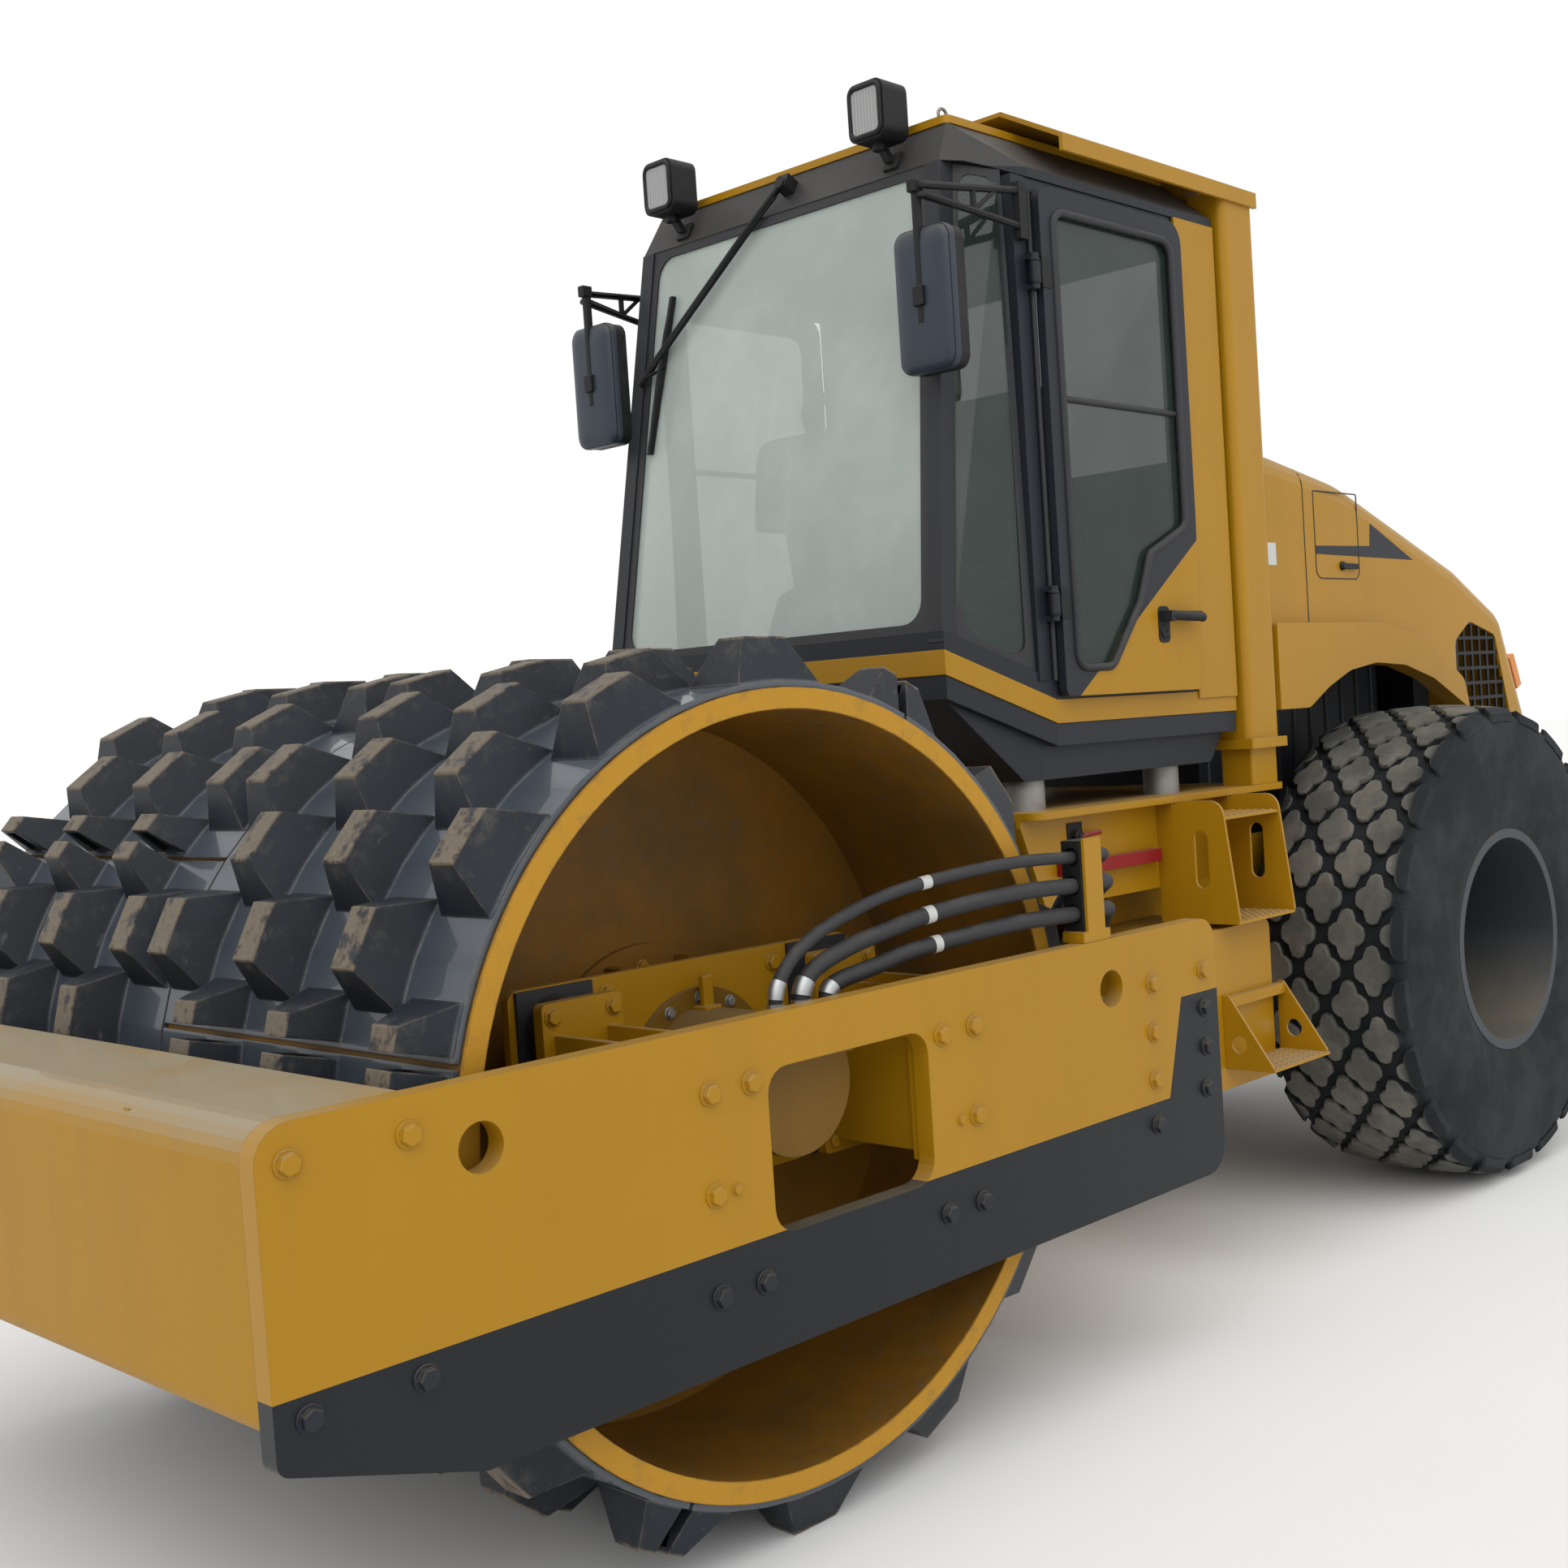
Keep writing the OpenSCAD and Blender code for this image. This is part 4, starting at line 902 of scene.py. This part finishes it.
def make_work_lamp(s, side):
    """Lens in its bezel, the case behind it and the clamp nut under it."""
    front = round_box(370, 3137, 476, 3263, 20)
    lens = slab(front, lambda a, b: at(s * a, 1015, b), Vector((0, 0.004, 0)))
    piece("work_lens_" + side, lens, clear_lens, 30)
    bezel = tube([at(s * p.x, 1016, p.y) for p in front], 0.007, 8, closed=True)
    back = [
        [at(s * p.x, y, p.y) for p in round_box(358, 3125, 488, 3275, 16, shrink)]
        for y, shrink in ((1106, 8), (1122, 26), (1128, 44))
    ]
    clamp = lathe(at(s * 423, 1063, 3106), (0, 0, 1), [(0, 20), (14, 20), (16, 17), (20, 17)], 6)
    piece("work_lamp_case_" + side, joined([bezel, loft(back), clamp]), plastic, 40)


def make_mirror(s, side):
    """Mirror glass towards the driver, and the crowned shell in front with the clamp on its rod."""
    outline = round_box(588, 2495, 747, 2821, 28)
    face = slab(outline, lambda a, b: at(s * a, 985.5, b), Vector((0, 0.002, 0)))
    piece("mirror_face_" + side, face, mirror, 30)
    rings = []
    for y, shrink in ((950, -2), (936, -2), (926, 4), (920, 14), (917, 30), (915, 50)):
        ring = round_box(575, 2482, 760, 2834, max(35 - shrink * 0.3, 12), shrink)
        rings.append([at(s * p.x, y, p.y) for p in ring])
    piece("mirror_shell_" + side, loft(rings), paint_mirror, 50)
    clamp = joined([
        brick(at(s * 667 - 17, 904, 2640), at(s * 667 + 17, 922, 2690)),
        brick(at(s * 667 - 13, 902, 2918), at(s * 667 + 13, 936, 2950)),
    ])
    piece("mirror_clamp_" + side, clamp, plastic, 0, bevel=0.003)
    upper = [at(s * 734, 1247, 2964), at(s * 712, 1086, 2949), at(s * 690, 925, 2934), at(s * 668, 922, 2934)]
    lower = [at(s * 734, 1247, 2871), at(s * 712, 1086, 2891), at(s * 690, 925, 2911), at(s * 668, 922, 2911)]
    arms = [
        tube(upper, 0.010, 8), tube(lower, 0.010, 8), tube([upper[1], lower[1]], 0.008, 8),
        tube([at(s * 723, 1167, 2957), at(s * 712, 1086, 2892)], 0.006, 8),
        tube([at(s * 667, 923, 2948), at(s * 667, 923, 2604)], 0.0105, 12),
    ]
    piece("mirror_arms_" + side, joined(arms), plastic, 40)


for make in (door_trim, make_work_lamp, make_mirror):
    for s, side in SIDES:
        make(s, side)


# ---- window surrounds

POST_FOOT = Vector((645, 942, 1811))
POST_HEAD = Vector((575, 1117, 3046.2))
PANE_INSET = 25.3
PANE_AHEAD = 15


def post_at(z):
    """Middle of the windshield post at the height z."""
    return POST_FOOT.lerp(POST_HEAD, (z - POST_FOOT.z) / (POST_HEAD.z - POST_FOOT.z))


def surround(corners, width, radius, outward, thickness=0.005):
    """Rubber round a pane between four corners, with the opening's own corners rounded."""
    across = ((corners[1] - corners[0]).length + (corners[2] - corners[3]).length) * 500
    height = ((corners[3] - corners[0]).length + (corners[2] - corners[1]).length) * 500

    def place(p):
        u, v = p.x / across, p.y / height
        return (corners[0] * (1 - u) + corners[1] * u) * (1 - v) + (corners[3] * (1 - u) + corners[2] * u) * v

    def outline(inset, corner):
        return [place(p) for p in round_box(0, 0, across, height, corner, inset, 6)]
    outer, inner = outline(0, 4), outline(width, radius)
    step = outward * thickness
    rings = [outer, [p + step for p in outer], [p + step for p in inner], inner]
    return [p for ring in rings for p in ring], skin(4, len(outer), closed=True)


def make_wiper():
    """Two parallel arms from the motor on the roof's front to the blade carrier, and the blade."""
    def before(x, z, d):
        return at(x, post_at(z).y - PANE_AHEAD - d, z)
    blade = ((-452, 2885, 14), (-470, 2790, 19), (-490, 2670, 21), (-508, 2550, 19), (-523, 2450, 14))
    arms = [
        tube([at(13, 1094, 3124), at(-120, 1073, 3020), before(-529, 2694, 27)], 0.0075, 8),
        tube([at(-14, 1094, 3094), at(-150, 1071, 2990), before(-556, 2662, 27)], 0.0055, 8),
        tube([before(-505, 2706, 24), before(-570, 2654, 24)], 0.010, 8),
        tube([at(13, 1118, 3118), at(13, 1084, 3126)], 0.017, 16),
        tube([before(*p) for p in blade], 0.0055, 8),
    ]
    piece("wiper_arms", joined(arms), plastic, 40)


def make_steering_wheel():
    """Dark grip over the wheel's ring, with its hub cap and spokes."""
    centre = at(0, 1395, 2465)
    tilt = radians(-24.6)
    radius = 0.190
    up = Vector((0, -sin(tilt), cos(tilt)))
    away = Vector((0, cos(tilt), sin(tilt)))
    ring = [centre + Vector((radius * cos(a), 0, 0)) + away * (radius * sin(a)) for a in turns(40)]
    parts = [tube(ring, 0.0165, 12, closed=True)]
    parts.append(lathe(centre - up * 0.02, up, [(0, 40), (24, 40), (32, 34), (34, 20)], 24))
    for x, y in ((1, 0), (-1, 0), (0, 1)):
        end = centre + Vector((0.18 * x, 0, 0)) + away * 0.18 * y
        parts.append(tube([centre + up * 0.006, end], 0.011, 8))
    piece("steering_wheel", joined(parts), plastic, 50)


def make_surrounds():
    """Seals of the windshield, the corner panes and the rear pane."""
    foot, head = post_at(1835.2), post_at(3046.7)
    ends = ((-1, foot), (1, foot), (1, head), (-1, head))
    pane = [at(s * (p.x - PANE_INSET), p.y - PANE_AHEAD, p.z) for s, p in ends]
    piece("windshield_seal", surround(pane, 26, 62, Vector((0, -1, 0.14))), rubber, 30)
    for s, side in SIDES:
        pane = [at(s * 656, 974, 1820), at(s * 703, 1229, 1724), at(s * 682, 1229, 3025), at(s * 596, 1144, 3046)]
        seal = surround(pane, 22, 48, Vector((s, -0.15, 0)))
        piece("corner_seal_" + side, seal, rubber, 30)
    low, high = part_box("rear_glass")
    ends = ((high.x, low.z), (low.x, low.z), (low.x, high.z), (high.x, high.z))
    pane = [Vector((x, high.y, z)) for x, z in ends]
    piece("rear_seal", surround(pane, 20, 50, Vector((0, 1, 0))), rubber, 30)


make_surrounds()
make_wiper()
make_steering_wheel()


# ---- hood, steps and small fittings

SEAM_Y = 2636
CLEANER_Z = 1852
SILENCER_X = 205
SILENCER_Z = 1846


def hood_trim(s, side):
    """Seam over the hood, the service hatch with its latch, and a plain dark wedge stripe."""
    x = s * HOOD_SIDE
    seam = [at(x, SEAM_Y, z) for z in (1848, 2000, 2150, 2278)]
    for a in map(radians, (15, 35, 55, 75, 90)):
        seam.append(at(s * (620 + 70 * cos(a)), SEAM_Y, 2280 + 70 * sin(a)))
    seam.append(at(0, SEAM_Y, 2350))
    hatch = round_outline([(2700, 2272, 6), (2975, 2272, 6), (2975, 1992, 32), (2700, 1992, 32)])
    hatch = [at(x, p.x, p.y) for p in hatch]
    lines = joined([tube(seam, 0.0022, 6), tube(hatch, 0.0022, 6, closed=True)])
    piece("hood_seams_" + side, lines, rubber, 0, "hood")
    latch = joined([
        lathe(at(x, 2862, 2034), (s, 0, 0), [(0, 15), (8, 15), (11, 12)], 20),
        brick(at(x + s * 8 - 4, 2852, 2024), at(x + s * 8 + 6, 2950, 2042)),
    ])
    piece("hatch_latch_" + side, latch, plastic, 30, "hood", bevel=0.002)
    wedge = [Vector(p) for p in ((2704, 2070), (2704, 2096), (3052, 2104), (3060, 2180), (3350, 2064))]
    stripe = slab(wedge, lambda a, b: at(x, a, b), Vector((s * 0.0009, 0, 0)))
    piece("hood_stripe_" + side, stripe, paint_slate, 0, "hood")


def tread_studs(s, side):
    """Raised studs on the three treads of the steps."""
    studs = []
    for x0, x1, z in ((775, 905, 1298), (720, 940, 1008), (900, 1028, 603)):
        across = int((x1 - x0) / 26)
        for i in range(across + 1):
            for k in range(9):
                place = at(s * (x0 + i * (x1 - x0) / across), 1778 + k * 29, z - 0.5)
                studs.append(lathe(place, (0, 0, 1), [(0, 9), (4, 5.5), (4, 3.4), (1.2, 3.2)], 8))
    piece("tread_studs_" + side, joined(studs), paint_step, 0)


def make_engine():
    """Covers, air cleaner, silencer and radiator core, seen when the hood is tilted."""
    cover = round_box(-130, 2720, 90, 3560, 40)
    rocker = [
        [at(c.x + (c.x + 20) * g, c.y + (c.y - 3140) * g * 0.3, z) for c in cover]
        for z, g in ((1746, 0), (1800, 0), (1818, -0.06), (1822, -0.2))
    ]
    fillers = [lathe(at(-20, y, 1820), (0, 0, 1), [(0, 30), (14, 30), (18, 24)], 20) for y in (2860, 3140, 3420)]
    ribs = []
    for s in (-1, 1):
        for k in range(11):
            y = 2550 + k * 110
            ribs.append(tube([at(s * 330, y, 1120), at(s * 330, y, 1722)], 0.009, 8))
        ribs.append(tube([at(s * 330, 2520, 1722), at(s * 330, 3680, 1722)], 0.012, 8))
    piece("engine_covers", joined([loft(rocker)] + fillers + ribs), paint_engine, 30)
    cleaner = [
        (0, 40), (0, 92), (12, 98), (60, 98), (64, 104), (76, 104), (80, 98), (440, 98), (452, 90), (470, 60),
        (560, 58),
    ]
    strap = [(0, 96), (0, 106), (26, 106), (26, 96)]
    parts = [lathe(at(-225, 2640, CLEANER_Z), (0, 1, 0), cleaner, 32)]
    parts += [lathe(at(-225, y, CLEANER_Z), (0, 1, 0), strap, 32, closed=True) for y in (2760, 2960)]
    parts += [tube([at(-225, y, 1740), at(-225, y, 1760)], 0.022, 10) for y in (2773, 2973)]
    piece("air_cleaner", joined(parts), plastic, 40)
    silencer = [(0, 30), (0, 74), (14, 84), (500, 84), (514, 74), (514, 30)]
    parts = [lathe(at(SILENCER_X, 2698, SILENCER_Z), (0, 1, 0), silencer, 32)]
    for radius, route in (
        (0.034, ((3560, 1742), (3560, 1800), (3530, 1836), (3470, SILENCER_Z), (3200, SILENCER_Z))),
        (0.030, ((2700, SILENCER_Z), (2620, SILENCER_Z), (2590, 1820), (2585, 1744))),
    ):
        parts.append(tube([at(SILENCER_X, y, z) for y, z in route], radius, 14))
    piece("silencer", joined(parts), dull_steel, 40)
    core = [tube([at(x, 3902, 1225), at(x, 3902, 1715)], 0.003, 6) for x in range(-405, 406, 18)]
    core += [tube([at(-410, 3901, z), at(410, 3901, z)], 0.007, 8) for z in (1225, 1470, 1715)]
    shroud = lathe(at(0, 3782, 1480), (0, -1, 0), [(0, 268), (40, 252), (40, 240), (0, 240)], 40, closed=True)
    piece("radiator_core", joined(core + [shroud]), plastic, 30)


def small_fittings():
    """Cut-off switch, roof eyes, the bare plate on the hood and the bolts of the rear bumper."""
    switch = joined([
        brick(at(690.2, 1340, 1236), at(693, 1404, 1318)),
        lathe(at(692, 1372, 1280), (1, 0, 0), [(0, 17), (16, 17), (20, 12), (26, 12)], 20),
    ])
    piece("cutoff_switch", switch, plastic, 30)
    lever = tube([at(712, 1372, 1280), at(714, 1400, 1284), at(714, 1455, 1286)], 0.007, 10)
    piece("cutoff_lever", lever, paint_red, 50)
    rings = []
    for s in (1, -1):
        for y in (1180, 2080):
            arc = [at(s * 545, y + 16 * cos(a), 3191 + 16 * sin(a)) for a in turns(16)]
            rings.append(tube(arc, 0.0045, 8, closed=True))
    piece("roof_eyes", joined(rings), dull_steel, 50)
    plate = brick(at(689.8, 2372, 2028), at(690.8, 2462, 2098))
    piece("blank_plate", plate, pale_plate, 0, "hood")
    low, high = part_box("rear_bumper")
    rear = [Vector((x, high.y, z)) for x in (-0.45, -0.3, 0.3, 0.45) for z in (low.z + 0.12, high.z - 0.12)]
    bolts("bumper_bolts", rear, (0, 1, 0), 38, paint_slate, "rear_unit")


for s, side in SIDES:
    hood_trim(s, side)
    tread_studs(s, side)
make_engine()
small_fittings()


# ---- seat

# name, two corners, and how far the cloth may move
SEAT_PADS = (
    ("seat_cushion", (-228, 1492, 1962), (228, 1915, 2052), 0.016),
    ("seat_back", (-222, 1908, 2010), (222, 1984, 2630), 0.016),
    ("seat_arm_left", (262, 1566, 2124), (338, 1900, 2178), 0.008),
    ("seat_arm_right", (-338, 1566, 2124), (-262, 1900, 2178), 0.008),
)


def soft_pad(name, low, high, cap):
    """Crowned cushion: a rounded block that is remeshed and blown up as cloth, with its motion capped."""
    thing = placed(name, mesh_of(name, *brick(low, high)))
    modify(thing, "BEVEL", width=min(high[k] - low[k] for k in range(3)) * 0.35, segments=4)
    modify(thing, "REMESH", mode="VOXEL", voxel_size=0.008)
    bake(thing)
    rest = [v.co.copy() for v in thing.data.vertices]
    blow_up(thing)
    for vertex, start in zip(thing.data.vertices, rest):
        move = vertex.co - start
        if move.length > cap:
            vertex.co = start + move.normalized() * cap
    modify(thing, "SUBSURF", levels=1, render_levels=1)
    bake(thing)
    thing.data.materials.append(cloth)
    thing.data.shade_smooth()
    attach(thing, "rear_unit")


def bake(thing):
    """Applies all modifiers of an object."""
    graph = bpy.context.evaluated_depsgraph_get()
    mesh = bpy.data.meshes.new_from_object(thing.evaluated_get(graph))
    thing.modifiers.clear()
    thing.data = mesh


def blow_up(thing):
    """Runs the cloth for twenty frames under pressure and keeps its last shape."""
    settings = modify(thing, "CLOTH").settings
    settings.use_pressure = True
    settings.uniform_pressure_force = 4
    settings.effector_weights.gravity = 0
    settings.quality = 5
    for number in range(1, 21):
        bpy.context.scene.frame_set(number)
    bake(thing)


def make_seat():
    """The four soft pads, their plastic base and the bellows under it."""
    for name, low, high, cap in SEAT_PADS:
        soft_pad(name, at(*low), at(*high), cap)
    base = joined([
        brick(at(-200, 1520, 1925), at(200, 1880, 1960)),
        brick(at(-150, 1560, 1588), at(150, 1860, 1640)),
        brick(at(-340, 1930, 2130), at(340, 1958, 2170)),
        brick(at(-320, 1880, 2134), at(-280, 1958, 2168)),
        brick(at(280, 1880, 2134), at(320, 1958, 2168)),
    ])
    frame_piece = piece("seat_base", base, plastic, 0, bevel=0.006)
    folds = [(52 + k * 22, 138 if k % 2 else 122) for k in range(13)]
    bellows = lathe(at(0, 1710, 1588), (0, 0, 1), folds + [(340, 120)], 4)
    piece("seat_bellows", bellows, rubber, 0)
    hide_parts("seat")


make_seat()


# ---- floor, light and camera

def make_stage():
    """Pale floor, plain sky and two soft suns."""
    size = 60
    corners = [(-size, -size, 0), (size, -size, 0), (size, size, 0), (-size, size, 0)]
    floor = placed("floor", mesh_of("floor", corners, [(0, 1, 2, 3)]))
    f = Finish("Pale floor", roughness=0.9)
    f.colour(f.mix(f.noise(0.8, 3), rgb(240, 240, 238), rgb(246, 246, 245)))
    floor.data.materials.append(f.material)
    floor.location.z = -0.002

    world = bpy.data.worlds.new("Plain sky")
    bpy.context.scene.world = world
    world.use_nodes = True
    tree = world.node_tree
    background = tree.nodes["Background"]
    start = Sock(tree, None)
    rays = ("Is Camera Ray", "Is Glossy Ray", "Is Transmission Ray")
    seen = [start.make("LightPath", out=name) for name in rays]
    white = (seen[0] + seen[1] + seen[2]).clamp()
    tree.links.new((0.62 + white * 0.38).socket, background.inputs["Strength"])
    background.inputs["Color"].default_value = (1, 1, 1, 1)

    for name, energy, angle, turn in (("Sky light", 1.5, 70, (38, 8, 28)), ("Fill light", 0.5, 90, (60, 0, 100))):
        lamp = bpy.data.lights.new(name, "SUN")
        lamp.energy = energy
        lamp.angle = radians(angle)
        placed(name, lamp).rotation_euler = [radians(a) for a in turn]


make_stage()

IMAGE_SIDE = 1932
FOCAL_PIXELS = 2257.7
OPTICAL_CENTRE = (1217.2, 976.6)
CAMERA_PLACE = Vector((3.7506, DRUM.y - 2.4786, 1.634))
CAMERA_TURN = (41.10, 2.584, -3.492)


def make_camera():
    """Camera solved from the drum rim and the side plate."""
    around, above, roll = (radians(a) for a in CAMERA_TURN)
    back = Vector((sin(around) * cos(above), -cos(around) * cos(above), sin(above)))
    right = Vector((cos(around), sin(around), 0))
    up = back.cross(right)
    x_way = cos(roll) * right + sin(roll) * up
    y_way = -sin(roll) * right + cos(roll) * up
    camera = bpy.data.cameras.new("Camera")
    camera.sensor_width = 36
    camera.lens = FOCAL_PIXELS / IMAGE_SIDE * 36
    camera.shift_x = (IMAGE_SIDE / 2 - OPTICAL_CENTRE[0]) / IMAGE_SIDE
    camera.shift_y = (OPTICAL_CENTRE[1] - IMAGE_SIDE / 2) / IMAGE_SIDE
    camera.clip_end = 200
    holder = placed("Camera", camera)
    holder.matrix_world = Matrix.Translation(CAMERA_PLACE) @ Matrix((x_way, y_way, back)).transposed().to_4x4()
    bpy.context.scene.camera = holder


make_camera()
bpy.context.scene.view_settings.view_transform = "Standard"
